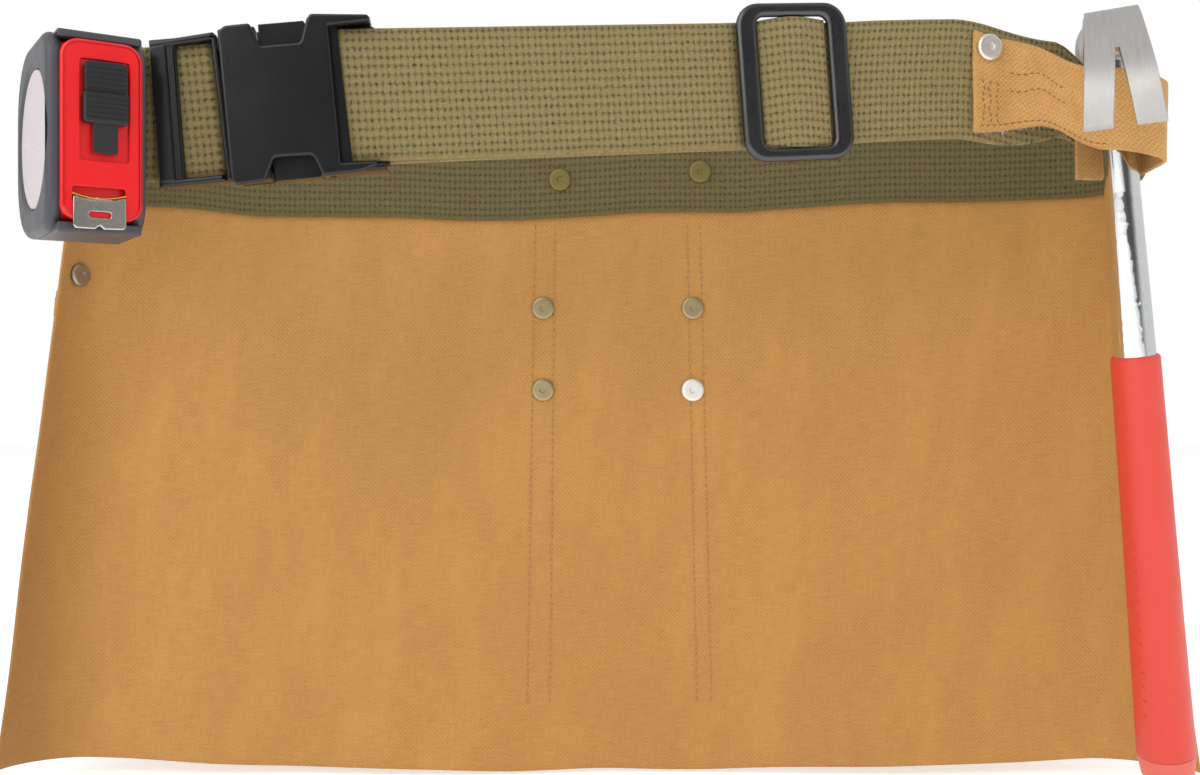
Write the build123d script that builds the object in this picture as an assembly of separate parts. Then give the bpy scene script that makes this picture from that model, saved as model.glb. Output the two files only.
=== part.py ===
"""Canvas waist tool belt, millimetres: buckle side at -Y, apron and pockets at +Y, +Z up.

The origin is the middle of the waist loop, level with the middle of the rear webbing.
A claw hammer hangs in the loop at the right end and a tape measure is clipped to the left end.
"""

from build123d import *
import os
from math import atan, cos, degrees, pi, radians, sin, tan

os.makedirs("parts", exist_ok=True)

# Webbing and cloth
WEB_WIDTH = 50.8
WEB_THICK = 2.2
CLOTH = 1.4
LOOP_CLOTH = 1.8
GAP = 0.3  # between soft pieces that lie on each other

# The waist loop in plan: where its straight runs would cross
REAR_Y = 75
LEFT_END = (-171.7, -87.7)  # beside the buckle
LEFT_YAW = 33  # the left run, from the Y axis
RIGHT_X = 248
FRONT_TURN = 6
LEFT_TURN = 30
RIGHT_TURN = 36

# The front strap, from the buckle's bar to the right turn
BAR_AT = Vector(-81.3, -78.3, 1.0)
FRONT_SLOPE = 0.228  # how far the strap leaves the buckle's side, per unit of X
FRONT_RISE = 0.079  # how far it climbs, per unit of X
STRAP_YAW = degrees(atan(FRONT_SLOPE))
STRAP_PITCH = degrees(atan(FRONT_RISE * cos(radians(STRAP_YAW))))

# Apron and pockets
APRON_TOP = 19
APRON_BOTTOM = -294
APRON_SAG = 9
APRON_FLARE = 0.00049  # share of its width that the apron gains per millimetre below the webbing
LARGE_MOUTH = -64
NAIL_MOUTH = -106
POCKET_BOTTOM = -280
NAIL_BOTTOM = -262
POCKET_GAP = (-24, 42)  # the pockets' inner edges
LARGE_DEPTH = 44
NAIL_DEPTH = 26

# Rivets
RIVET_RADIUS = 5.7
POST_RADIUS = 2.0
HOLE_RADIUS = 2.05
END_LIFT = 1.0  # how far an end rivet's cap stands off the curved cloth

# Buckle
BUCKLE_YAW = 5.7
BUCKLE_PITCH = 6.5
BUCKLE_AT = (-140.7, -84.6, -5.8)  # the middle of the socket's open face
SOCKET_LENGTH = 43.5
SOCKET_HALF = 30.0
SOCKET_FRONT, SOCKET_BACK = -8, 6
PLUG_HALF = 27.8
PRONG_AT = (6, 18)
PRONG_ROOT = 2.42

# Slider
SLIDER_X = 79
SLIDER_SIZE = (47.2, 64)
SLIDER_SIDE = 7.4
SLIDER_RAIL = 4.5

# Tape measure
TAPE_AT = (-194.6, -88.8, -20)
CASE_DEPTH, CASE_HEIGHT, CASE_HALF = 60, 66, 15
CASE_ROUND = 10
CASE_FRONT = -31
BLADE_WIDTH = 19
BLADE_Z = -22.4
COIL_AT = (0, -0.5, 3.4)
COIL_RADIUS = 24.3

# Hammer
HEAD_AT = Vector(212, -36, 30.5)
HAMMER_END = Vector(247, -10, -278)
HAMMER_YAW = -19.5
HEAD_HALF = 12.5
HEAD_UNDERSIDE = -6.2
GRIP_TOP = -129
BUTT_TOP = -302


def block(x0, x1, y0, y1, z0, z1):
    """A box between two corners."""
    return Pos((x0 + x1) / 2, (y0 + y1) / 2, (z0 + z1) / 2) * Box(x1 - x0, y1 - y0, z1 - z0)


def rod(radius, start, end):
    """A cylinder between two points."""
    start = Vector(*start)
    along = Vector(*end) - start
    disc = Plane(origin=start, z_dir=along) * Circle(radius)
    return extrude(disc, along.length)


def save(name, *solids):
    """Write one node: one solid, or a group of separate ones."""
    shapes = [s for solid in solids for s in solid.solids()]
    export_step(shapes[0] if len(shapes) == 1 else Compound(shapes), f"parts/{name}.step")


def rounded_line(corners, step=10):
    """Points along a line through corners (x, y, radius), each one rounded."""
    points = [Vector(*corners[0][:2])]
    for before, here, after in zip(corners, corners[1:], corners[2:]):
        corner = Vector(*here[:2])
        back = (Vector(*before[:2]) - corner).normalized()
        ahead = (Vector(*after[:2]) - corner).normalized()
        half = radians(back.get_angle(ahead)) / 2
        centre = corner + (back + ahead).normalized() * (here[2] / sin(half))
        arm = corner + back * (here[2] / tan(half)) - centre
        turn = 180 - 2 * degrees(half)
        side = -1 if back.cross(ahead).Z > 0 else 1
        count = max(2, round(turn / step))
        points += [centre + arm.rotate(Axis.Z, side * turn * i / count) for i in range(count + 1)]
    return points + [Vector(*corners[-1][:2])]


def divided(points, longest=18):
    """The same line with more points on its long runs."""
    line = []
    for start, end in zip(points, points[1:]):
        count = max(1, round((end - start).length / longest))
        line += [start + (end - start) * (i / count) for i in range(count)]
    return line + points[-1:]


def between(value, stops):
    """The height at a value, in straight runs between (value, height) stops."""
    if value <= stops[0][0]:
        return stops[0][1]
    for (a, low), (b, high) in zip(stops, stops[1:]):
        if value <= b:
            return low + (high - low) * (value - a) / (b - a)
    return stops[-1][1]


def grid_normals(rows):
    """The unit normal at each point of a grid."""
    normals = []
    for i, row in enumerate(rows):
        up, down = rows[max(i - 1, 0)], rows[min(i + 1, len(rows) - 1)]
        line = []
        for j in range(len(row)):
            across = row[min(j + 1, len(row) - 1)] - row[max(j - 1, 0)]
            line.append(across.cross(down[j] - up[j]).normalized())
        normals.append(line)
    return normals


def slab(rows, low, high):
    """A closed solid over a grid of points, from low to high along the grid's normals."""
    normals = grid_normals(rows)
    skins = [
        [[p + n * lift for p, n in zip(*pair)] for pair in zip(rows, normals)] for lift in (low, high)
    ]
    last, end = len(rows) - 1, len(rows[0]) - 1
    quads = []
    for skin in skins:
        for i in range(last):
            quads += [(skin[i][j], skin[i][j + 1], skin[i + 1][j + 1], skin[i + 1][j]) for j in range(end)]
    near, far = skins
    for i in (0, last):
        quads += [(near[i][j], near[i][j + 1], far[i][j + 1], far[i][j]) for j in range(end)]
    for j in (0, end):
        quads += [(near[i][j], near[i + 1][j], far[i + 1][j], far[i][j]) for i in range(last)]
    faces = []
    for a, b, c, d in quads:
        faces += [Face(Wire.make_polygon(corners)) for corners in ((a, b, c), (a, c, d))]
    return Solid(Shell(faces))


def ribbon(path, width, thick):
    """A strap standing on edge along a path of points."""
    half = Vector(0, 0, width / 2)
    return slab([[p + half for p in path], [p - half for p in path]], -thick / 2, thick / 2)


def band(points, thick, half_width):
    """A strip of even thickness along points (x, y), its width along Z."""
    path = rounded_line(points, 30)
    normals = grid_normals([path, [p - Vector(0, 0, 1) for p in path]])[0]
    left = [p + n * (thick / 2) for p, n in zip(path, normals)]
    right = [p - n * (thick / 2) for p, n in zip(path, normals)]
    outline = Face(Wire.make_polygon(left + right[::-1]))
    return Pos(0, 0, -half_width) * extrude(outline, 2 * half_width, dir=(0, 0, 1))


# ---------------------------------------------------------------- the waist loop

left_run = Vector(-sin(radians(LEFT_YAW)), cos(radians(LEFT_YAW)), 0)
rear_left = Vector(*LEFT_END) + left_run * ((REAR_Y - LEFT_END[1]) / left_run.Y)
right_front = (RIGHT_X, BAR_AT.Y + FRONT_SLOPE * (RIGHT_X - BAR_AT.X))


def strap_at(x):
    """A point on the front strap's middle."""
    return Vector(x, BAR_AT.Y + FRONT_SLOPE * (x - BAR_AT.X), BAR_AT.Z + FRONT_RISE * (x - BAR_AT.X))


def tilted(origin, yaw, pitch):
    """A frame whose X runs along a strap, whose Z is across it and whose -Y is its outer side."""
    along = Vector(1, 0, 0).rotate(Axis.Y, -pitch).rotate(Axis.Z, yaw)
    across = Vector(0, 0, 1).rotate(Axis.Y, -pitch).rotate(Axis.Z, yaw)
    return Plane(origin=origin, x_dir=along, z_dir=across).location


strap_frame = tilted(strap_at(SLIDER_X), STRAP_YAW, STRAP_PITCH)
buckle_frame = tilted(BUCKLE_AT, BUCKLE_YAW, BUCKLE_PITCH)

LADDER_END = -25.2  # where the webbing leaves the buckle, along the buckle
TAIL_GAP = 3.3  # its slanted end stays clear of the upright one
loop_start = (buckle_frame * Pos(LADDER_END, 0, 0)).position
LOOP_END_X = SLIDER_X - 19.3

plan_corners = [
    (loop_start.X, loop_start.Y),
    (LEFT_END[0], LEFT_END[1], FRONT_TURN),
    (rear_left.X, REAR_Y, LEFT_TURN),
    (RIGHT_X, REAR_Y, RIGHT_TURN),
    (right_front[0], right_front[1], RIGHT_TURN),
    (LOOP_END_X, strap_at(LOOP_END_X).Y),
]
plan = divided(rounded_line(plan_corners))


def loop_height(point):
    """How high the webbing's middle is at a point of the plan."""
    if point.Y > 60:
        return between(point.X, [(-225, 5), (-150, 0), (-40, -1.5), (50, 2.4), (150, 7.2), (230, 8.4)])
    if point.X < -150:
        return between(point.Y, [(-88, -8.6), (60, 5)])
    if point.X > 215:
        return between(point.Y, [(-5, -1.5), (60, 8.4)])
    if point.X > 150:
        return between(point.X, [(150, strap_at(150).Z), (195, 12), (219, -1.5)])
    return strap_at(point.X).Z


loop_path = [Vector(p.X, p.Y, loop_height(p)) for p in plan]


def rivet_axis(x, z, front, back, yaw=0, y=REAR_Y):
    """A rivet's two ends: front and back are how far it reaches from the middle of the cloth."""
    outward = Vector(sin(radians(yaw)), -cos(radians(yaw)), 0)
    middle = Vector(x, y, z)
    return middle + outward * front, middle - outward * back


def rivet(start, end):
    """A tubular rivet: a domed cap at its start and a shank that is rolled over at its end."""
    inward = (end - start).normalized()
    disc = Plane(origin=start, z_dir=-inward) * Circle(RIVET_RADIUS)
    cap = extrude(disc, 1.6)
    cap = fillet(cap.faces().sort_by(Axis(start, -inward))[-1].edges(), 1.3)
    dimple = Plane(origin=start - inward * 1.6, z_dir=inward) * Circle(1.5)
    shank = rod(POST_RADIUS, start, end + inward * 1.6)
    return cap - extrude(dimple, 0.6) + shank


def burr(start, end):
    """The washer that a rivet's shank is rolled over."""
    inward = (end - start).normalized()
    return rod(4.4, end, end + inward * 1.1) - rod(HOLE_RADIUS, end - inward, end + inward * 3)


def rivet_hole(start, end):
    """What a rivet's shank needs clear."""
    reach = (end - start).normalized() * 12
    return rod(HOLE_RADIUS, start - reach, end + reach)


# ---------------------------------------------------------------- apron and pockets

APRON_IN = WEB_THICK / 2 + GAP / 2
APRON_OUT = APRON_IN + CLOTH
POCKET_IN = APRON_OUT + 2 * GAP

first = next(i for i, p in enumerate(plan) if p.X < rear_left.X + 26 and p.Y > REAR_Y - LEFT_TURN)
apron_plan = [p for p in plan[first:] if p.Y > REAR_Y - RIGHT_TURN - 1]


def plan_at(distance):
    """The apron's line in plan and its outward direction, at a distance from its left end."""
    for start, end in zip(apron_plan, apron_plan[1:]):
        step = (end - start).length
        if distance <= step or end is apron_plan[-1]:
            along = (end - start).normalized()
            return start + along * distance, Vector(-along.Y, along.X, 0)
        distance -= step


apron_length = sum((b - a).length for a, b in zip(apron_plan, apron_plan[1:]))


def on_apron(distance, z, lift):
    """A point over the apron: it flares towards its hem."""
    point, outward = plan_at(distance)
    drop = max(0, -WEB_WIDTH / 2 - z)
    return Vector(point.X * (1 + APRON_FLARE * drop), point.Y, z) + outward * lift


def distance_at(x):
    """How far along the apron an X on its straight run is."""
    straight = next(i for i, p in enumerate(apron_plan) if p.Y > REAR_Y - 0.01)
    arc = sum((b - a).length for a, b in zip(apron_plan[:straight], apron_plan[1 : straight + 1]))
    return arc + x - apron_plan[straight].X


def hem(distance):
    """The hem's height: lowest in the middle."""
    return APRON_BOTTOM - APRON_SAG * sin(pi * distance / apron_length)


def apron():
    """The back panel that hangs from the rear webbing."""
    stops = [0]
    for start, end in zip(apron_plan, apron_plan[1:]):
        stops.append(stops[-1] + (end - start).length)
    rows = [[on_apron(s, z, 0) for s in stops] for z in (APRON_TOP, -WEB_WIDTH / 2, -160)]
    rows.append([on_apron(s, hem(s), 0) for s in stops])
    return slab(rows, APRON_IN, APRON_OUT)


FLANGE = 9  # the strip of a pocket that is sewn flat to the apron
WALL = 7  # how far along the apron a pocket takes to stand off it
SQUARE = 0.62  # a pocket's depth at its corners, as a share of its depth in the middle


def large_lift(s, length, z):
    """How far a large pocket's cloth stands off the apron."""
    share = max(0, (z - LARGE_MOUTH) / (POCKET_BOTTOM - LARGE_MOUTH))
    belly = LARGE_DEPTH * (1 - share**4) * (1 - 0.35 * share)
    edge = min(s, length - s) - FLANGE
    if edge <= 0:
        return 0
    if edge <= WALL:
        return belly * SQUARE * edge / WALL
    crown = sin(pi * (edge - WALL) / (length - 2 * (FLANGE + WALL)))
    return belly * (SQUARE + (1 - SQUARE) * crown)


def large_pocket(start, end):
    """A pocket sewn to the apron by its two sides and its bottom."""
    length = end - start
    inside = length - 2 * (FLANGE + WALL)
    stops = [0, FLANGE / 2, FLANGE] + [FLANGE + WALL + inside * i / 24 for i in range(25)]
    stops += [length - FLANGE, length - FLANGE / 2, length]
    rows = []
    for share in (0, 0.25, 0.55, 0.8, 0.94, 1):
        z = LARGE_MOUTH + (POCKET_BOTTOM - LARGE_MOUTH) * share
        rows.append([on_apron(start + s, z, POCKET_IN + large_lift(s, length, z)) for s in stops])
    rows.append([on_apron(start + s, POCKET_BOTTOM - FLANGE, POCKET_IN) for s in stops])
    return slab(rows, 0, CLOTH)


def nail_pocket(start, end):
    """The smaller pocket sewn to the face of a large one, which it follows."""
    length = end - start
    inset = FLANGE + WALL + 3
    count = 24
    rows = []
    for share in (0, 0.3, 0.6, 0.85, 1):
        z = NAIL_MOUTH + (NAIL_BOTTOM - NAIL_MOUTH) * share
        line = []
        for i in range(count + 1):
            s = inset + (length - 2 * inset) * i / count
            bulge = NAIL_DEPTH * (1 - share**3) * sin(pi * i / count) ** 0.5
            face = POCKET_IN + CLOTH + 2 * GAP + large_lift(s, length, z)
            line.append(on_apron(start + s, z, face + bulge))
        rows.append(line)
    return slab(rows, 0, CLOTH)


left_inner = distance_at(POCKET_GAP[0])
right_inner = distance_at(POCKET_GAP[1])
END_MARGIN = 4
left_large = large_pocket(END_MARGIN, left_inner)
right_large = large_pocket(right_inner, apron_length - END_MARGIN)
left_nail = nail_pocket(END_MARGIN, left_inner)
right_nail = nail_pocket(right_inner, apron_length - END_MARGIN)

web_rivets = [rivet_axis(x, z, WEB_THICK / 2, APRON_OUT) for x, z in ((-20, -7), (50, -3))]
mouth_rivets = [
    rivet_axis(x, z, -APRON_IN, POCKET_IN + CLOTH + 2 * GAP)
    for x in (POCKET_GAP[0] - 4.5, POCKET_GAP[1] + 4.5)
    for z in (LARGE_MOUTH - 7, NAIL_MOUTH - 6)
]
for s in (9, apron_length - 9):
    middle = on_apron(s, LARGE_MOUTH + 8, 0)
    outward = on_apron(s, LARGE_MOUTH + 8, 1) - middle
    near, far = APRON_IN - END_LIFT, APRON_OUT + END_LIFT
    mouth_rivets.append((middle + outward * near, middle + outward * far))
LOOP_RIVET = strap_at(164) + Vector(0, 0, 12.5)
strap_out = Vector(sin(radians(STRAP_YAW)), -cos(radians(STRAP_YAW)), 0)
loop_rivet = (
    LOOP_RIVET + strap_out * (WEB_THICK / 2 + 2 * GAP + LOOP_CLOTH),
    LOOP_RIVET - strap_out * (WEB_THICK / 2),
)

webbing = ribbon(loop_path, WEB_WIDTH, WEB_THICK)
panel = apron()
for ends in web_rivets:
    webbing -= rivet_hole(*ends)
    panel -= rivet_hole(*ends)
for ends in mouth_rivets:
    panel -= rivet_hole(*ends)
    left_large -= rivet_hole(*ends)
    right_large -= rivet_hole(*ends)
webbing -= rivet_hole(*loop_rivet)

save("belt_webbing", webbing)
save("apron_panel", panel)
save("left_large_pocket", left_large)
save("right_large_pocket", right_large)
save("left_nail_pocket", left_nail)
save("right_nail_pocket", right_nail)
save("webbing_rivets", *[rivet(*ends) for ends in web_rivets])
save("pocket_rivets", *[rivet(*ends) for ends in mouth_rivets])
save("rivet_burrs", *[burr(*ends) for ends in web_rivets + mouth_rivets + [loop_rivet]])

# ---------------------------------------------------------------- hammer loop

LOOP_WIDTH = 42
hammer_loop_plan = divided(rounded_line(
    [
        (157.5, -26.4),
        (180, -21.3, 12),
        (204, -53.6, 8),
        (235.4, -53.6, 9),
        (235.4, -10.7, 7),
        (204.5, -15.9),
    ],
    15,
))
hammer_loop_heights = [(157.5, 20), (180, 14), (204, -1.5), (236, -1.5)]
hammer_loop_path = [Vector(p.X, p.Y, between(p.X, hammer_loop_heights)) for p in hammer_loop_plan]
hammer_loop = ribbon(hammer_loop_path, LOOP_WIDTH, LOOP_CLOTH) - rivet_hole(*loop_rivet)
save("hammer_loop", hammer_loop)
save("loop_rivet", rivet(*loop_rivet))

# ---------------------------------------------------------------- buckle

half_web = WEB_WIDTH / 2
socket = block(0, SOCKET_LENGTH, SOCKET_FRONT, SOCKET_BACK, -SOCKET_HALF, SOCKET_HALF)
socket = fillet(socket.edges().filter_by(Axis.Y), 4)
socket = chamfer(socket.faces().sort_by(Axis.Y)[0].edges(), 1.4)
socket = chamfer(socket.faces().sort_by(Axis.Y)[-1].edges(), 2.2)
socket -= block(-1, 38, -4.5, 2.5, -24.4, 24.4)
for side in (-1, 1):
    low, high = sorted((side * 21.9, side * 40))
    socket -= block(14, 35, SOCKET_FRONT - 1, SOCKET_BACK + 1, low, high)
    low, high = sorted((side * 26.7, side * SOCKET_HALF))
    rail = block(SOCKET_LENGTH - 8, 61, -5, 4.6, low, high)
    socket += fillet(rail.edges().filter_by(Axis.Z).sort_by(Axis.X)[-2:], 2)
socket -= block(40.1, 45.8, SOCKET_FRONT - 1, SOCKET_BACK + 1, -26.7, 26.7)
bar = block(45.8, 58, 1.6, 4.6, -27, 27)
socket += fillet(bar.edges().filter_by(Axis.Z), 1.2)
save("buckle_socket", buckle_frame * socket)

plug = block(-2.4, -0.4, -4.5, 3.5, -PLUG_HALF, PLUG_HALF)
plug += block(-1, 8.4, -4.2, 2.2, -24.2, 24.2)
plug += block(4, 34, -2.5, 0.5, -5, 5)
plug += fillet(block(-24.5, -15, -4.6, -1.5, -27, 27).edges().filter_by(Axis.Z), 1.2)
plug += fillet(block(-10, -5.5, 1.5, 4.2, -27, 27).edges().filter_by(Axis.Z), 1)
for side in (-1, 1):
    low, high = sorted((side * (half_web + 0.2), side * PLUG_HALF))
    plug += block(-24.5, -1, -4.6, 4.2, low, high)
    low, high = sorted((side * 14.2, side * 22.6))
    plug -= Pos(PRONG_AT[0], 0, side * PRONG_AT[1]) * Rot(90, 0, 0) * Cylinder(PRONG_ROOT + 0.06, 20)
    plug -= block(PRONG_AT[0], 9, -6, 4, low, high)
save("buckle_plug", buckle_frame * plug)


def prong(side):
    """One of the plug's sprung arms, with its thumb pad in the socket's side window."""
    outline = [(6, 16.4), (6, 19.6), (13, 22.4), (14.9, 23.8), (15.3, 29.6), (32, 29.6)]
    outline += [(34.2, 26), (34.2, 20.5), (32, 19), (15, 19)]
    arm = Plane.XZ * make_face(Polyline(*[(x, side * z) for x, z in outline], close=True))
    arm = extrude(arm, 3.9) + extrude(arm, -1.9)
    root = Pos(PRONG_AT[0], -1, side * PRONG_AT[1]) * Rot(90, 0, 0) * Cylinder(PRONG_ROOT, 5.8)
    return arm + root


save("upper_prong", buckle_frame * prong(1))
save("lower_prong", buckle_frame * prong(-1))

tail = band([(LADDER_END + TAIL_GAP, 0), (-4, 0, 1.5), (-4, 8.3, 1.5), (38, 8.3)], WEB_THICK, half_web)
save("webbing_tail", buckle_frame * tail)

# ---------------------------------------------------------------- adjusting strap and slider

BAR_BACK = -(strap_at(SLIDER_X) - strap_at(BAR_AT.X)).length
WRAP = 17  # how far the strap goes past the bar's right edge before it turns back
adjusting = band(
    [
        (LOOP_END_X - SLIDER_X - 3, 0),
        (BAR_BACK - WRAP, 0, 2),
        (BAR_BACK - WRAP, 8.8, 2),
        (BAR_BACK + 3, 6.6, 10),
        (BAR_BACK + 40, 2.7, 10),
        (-4.4, 2.7),
    ],
    WEB_THICK,
    half_web,
)
save("adjusting_strap", strap_frame * adjusting)

width, height = SLIDER_SIZE
ring = extrude(Plane.XZ * RectangleRounded(width, height, 8), 4.4)
ring -= extrude(Plane.XZ * RectangleRounded(width - 2 * SLIDER_SIDE, height - 2 * SLIDER_RAIL, 3), 5)
ring -= block(-width, width, -1.4, 1, -half_web - 1.2, half_web + 1.2)
ring = chamfer(ring.faces().sort_by(Axis.Y)[0].edges(), 0.8)
for side in (-1, 1):
    low, high = sorted((side * (height / 2 - SLIDER_RAIL), side * height / 2))
    ring += block(-3, 3, -2, 4.4, low, high)
ring += fillet(block(-3, 3, 1.5, 4.4, -29, 29).edges().filter_by(Axis.Z), 1)
save("slider", strap_frame * ring)

# ---------------------------------------------------------------- tape measure

tape_frame = Location(TAPE_AT, (0, 0, LEFT_YAW))


def case_prism(depth, height, radius, half, y=-1):
    """A rounded block, its width along X."""
    face = Plane.YZ * Pos(y, 0) * RectangleRounded(depth, height, radius)
    return extrude(face, half, both=True)


COVER = 17.1  # half the width over the rubber covers
core = case_prism(CASE_DEPTH, CASE_HEIGHT, CASE_ROUND, CASE_HALF)
cover = case_prism(CASE_DEPTH + 3, CASE_HEIGHT + 5, CASE_ROUND + 2, COVER, 0.5)
cover -= case_prism(CASE_DEPTH + 0.1, CASE_HEIGHT + 0.1, CASE_ROUND, CASE_HALF + 0.05)
cover -= block(-20, 20, -40, -27.5, -40, 40)
cover -= Rot(0, 90, 0) * Cylinder(25.6, 60)
for side, name in ((-1, "left"), (1, "right")):
    low, high = sorted((0.05 * side, 20 * side))
    half = cover & block(low, high, -40, 40, -40, 40)
    disc = rod(25.4, (side * (CASE_HALF + 0.1), 0, 0), (side * (COVER - 0.8), 0, 0))
    disc = fillet(disc.edges(), 0.4)
    if side == 1:
        half -= rod(1.7, (10, 8, 27), (20, 8, 27))
        disc -= rod(1.7, (10, 8, 27), (20, 8, 27))
    save(f"{name}_case_cover", tape_frame * half)
    save(f"{name}_side_disc", tape_frame * disc)

core -= case_prism(53.5, 60, 8, CASE_HALF - 2, -0.5)
core -= block(-10.2, 10.2, -40, -26, -25.8, -20.4)
core -= block(-8.8, 8.8, -40, CASE_FRONT + 1.4, -11, 25.5)
core -= block(-5, 5, CASE_FRONT + 0.5, CASE_FRONT + 2.8, -17, 20)
SCREW_SPOTS = [(y, z) for y in (-21, 21) for z in (-27.3, 27.3)]
for y, z in SCREW_SPOTS:
    core += rod(2.6, (-CASE_HALF + 1, y, z), (CASE_HALF - 1, y, z))
core += rod(5, (-CASE_HALF + 1, COIL_AT[1], COIL_AT[2]), (-8, COIL_AT[1], COIL_AT[2]))
for y, z in SCREW_SPOTS:
    core -= rod(1.3, (-9, y, z), (20, y, z)) + rod(2.55, (CASE_HALF - 1.8, y, z), (20, y, z))
core -= rod(1.7, (CASE_HALF - 6, 8, 27), (20, 8, 27))
core -= rod(2.55, (-CASE_HALF + 2, COIL_AT[1], COIL_AT[2]), (0, COIL_AT[1], COIL_AT[2]))
save("left_case_half", tape_frame * (core & block(-20, -0.02, -40, 40, -40, 40)))
save("right_case_half", tape_frame * (core & block(0.02, 20, -40, 40, -40, 40)))
HEAD_UNDER = CASE_HALF - 1.75
case_screws = [
    rod(1.25, (-8.8, y, z), (HEAD_UNDER, y, z)) + rod(2.5, (HEAD_UNDER, y, z), (CASE_HALF, y, z))
    for y, z in SCREW_SPOTS
]
save("case_screws", *[tape_frame * s for s in case_screws])


def ring_about_coil(inner, outer, half):
    """A tube on the spool's axis."""
    ends = [(x, COIL_AT[1], COIL_AT[2]) for x in (-half, half)]
    tube = rod(outer, *ends)
    return tube - rod(inner, (-40, *COIL_AT[1:]), (40, *COIL_AT[1:])) if inner else tube


blade_half = BLADE_WIDTH / 2
save("blade_coil", tape_frame * ring_about_coil(13.2, COIL_RADIUS, blade_half))
save("spring_drum", tape_frame * ring_about_coil(11.6, 13.15, blade_half + 0.8))
save("return_spring", tape_frame * ring_about_coil(4.2, 11.4, blade_half - 1.5))
axle = ring_about_coil(0, 2.5, 12.8) + ring_about_coil(0, 4.0, blade_half - 1.6)
save("spool_axle", tape_frame * (axle & block(-12.8, 12, -40, 40, -40, 40)))

button = block(-7.8, 7.8, CASE_FRONT - 2.2, CASE_FRONT + 1.3, 1.8, 24.5)
button = fillet(button.edges().filter_by(Axis.Y), 4)
button = fillet(button.faces().sort_by(Axis.Y)[0].edges(), 1)
for i in range(7):
    button -= block(-10, 10, CASE_FRONT - 3, CASE_FRONT - 1.6, 4.6 + 2.6 * i, 5.6 + 2.6 * i)
button += block(-4.5, 4.5, CASE_FRONT + 0.6, CASE_FRONT + 2.7, -7.7, 15)
save("lock_button", tape_frame * button)

blade_arc = ThreePointArc((-blade_half, BLADE_Z), (0, BLADE_Z - 1.7), (blade_half, BLADE_Z))
blade = Plane.XZ * make_face(
    [
        blade_arc,
        Line((blade_half, BLADE_Z), (blade_half, BLADE_Z - 0.35)),
        ThreePointArc((blade_half, BLADE_Z - 0.35), (0, BLADE_Z - 2.05), (-blade_half, BLADE_Z - 0.35)),
        Line((-blade_half, BLADE_Z - 0.35), (-blade_half, BLADE_Z)),
    ]
)
blade = Pos(0, 22, 0) * extrude(blade, 22 - CASE_FRONT + 0.4)
save("blade_lead", tape_frame * blade)
hook = block(-blade_half, blade_half, CASE_FRONT - 1.5, CASE_FRONT - 0.45, -35.4, -22)
hook -= Plane.XZ.offset(20) * Pos(0, -30) * extrude(SlotOverall(8, 2.2), 20)
hook -= rod(1.3, (0, -40, -35.6), (0, 0, -35.6))
hook = fillet(hook.edges().filter_by(Axis.Y).sort_by(Axis.Z)[:2], 1.2)
TAB_TOP = BLADE_Z - 2.15
hook += block(-5, 5, CASE_FRONT - 1, CASE_FRONT + 6.9, TAB_TOP - 0.8, TAB_TOP)
save("end_hook", tape_frame * hook)
hook_rivets = [rod(1, (0, CASE_FRONT + y, TAB_TOP - 1), (0, CASE_FRONT + y, TAB_TOP + 1)) for y in (2, 5)]
save("hook_rivets", *[tape_frame * r for r in hook_rivets])

CLIP_Y = 8
clip = band([(17.75, 17), (17.75, 39.8, 1.6), (22.4, 39.8, 1.6), (21.9, 4, 12), (23.2, -3)], 1.0, 9)
clip = Pos(0, CLIP_Y, 0) * Rot(90, 0, 0) * clip
clip -= rod(1.75, (16, CLIP_Y, 27), (19, CLIP_Y, 27)) + rod(2.95, (17.75, CLIP_Y, 27), (19, CLIP_Y, 27))
save("belt_clip", tape_frame * clip)
clip_screw = rod(1.6, (CASE_HALF - 5.5, CLIP_Y, 27), (17.8, CLIP_Y, 27))
clip_screw += rod(2.85, (17.8, CLIP_Y, 27), (18.2, CLIP_Y, 27))
save("clip_screw", tape_frame * clip_screw)

# ---------------------------------------------------------------- hammer

up = (HEAD_AT - HAMMER_END).normalized()
hammer_frame = Plane(origin=HEAD_AT, x_dir=Vector(1, 0, 0).rotate(Axis.Z, HAMMER_YAW), z_dir=up).location


def ellipse_loft(stops):
    """A solid through ellipses (z, half width, half depth)."""
    return loft([Pos(0, 0, z) * Ellipse(a, b) for z, a, b in stops])


handle_stops = [(-295, 8.6, 11.5), (-135, 8.6, 11.5), (-60, 7.2, 9.8), (HEAD_HALF, 7.2, 9.8)]
handle = ellipse_loft(handle_stops[:2]) + ellipse_loft(handle_stops[1:3]) + ellipse_loft(handle_stops[2:])
handle_hole = ellipse_loft([(-295.1, 8.65, 11.55), (-135, 8.65, 11.55)])
handle_hole += ellipse_loft([(-135, 8.65, 11.55), (-60, 7.25, 9.85)])
handle_hole += ellipse_loft([(-60, 7.25, 9.85), (60, 7.25, 9.85)])
save("hammer_handle", hammer_frame * handle)

claw_side = Plane.YZ * make_face(
    [
        Spline((-8, 12.3), (-30, 10.2), (-54, -7), (-70, -36.5), tangents=((-1, 0), (-0.15, -1))),
        Line((-70, -36.5), (-68.4, -38)),
        Spline((-68.4, -38), (-50.5, -13), (-30, -1.6), (-8, -6.2), tangents=((0.2, 1), (1, -0.7))),
        Line((-8, -6.2), (-8, 12.3)),
    ]
)
claw = extrude(claw_side, 20, both=True)
claw_front = Plane.XZ * make_face(Polyline((-9.6, 14), (9.6, 14), (15, -42), (-15, -42), close=True))
claw &= extrude(claw_front, 90)
notch = Plane.XZ * make_face(Polyline((-0.8, -7), (0.8, -7), (4.5, -42), (-4.5, -42), close=True))
claw -= Pos(0, -20, 0) * extrude(notch, 90)
cheeks = fillet(block(-10.2, 10.2, -14, 14, HEAD_UNDERSIDE, HEAD_HALF).edges(), 2)
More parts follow.
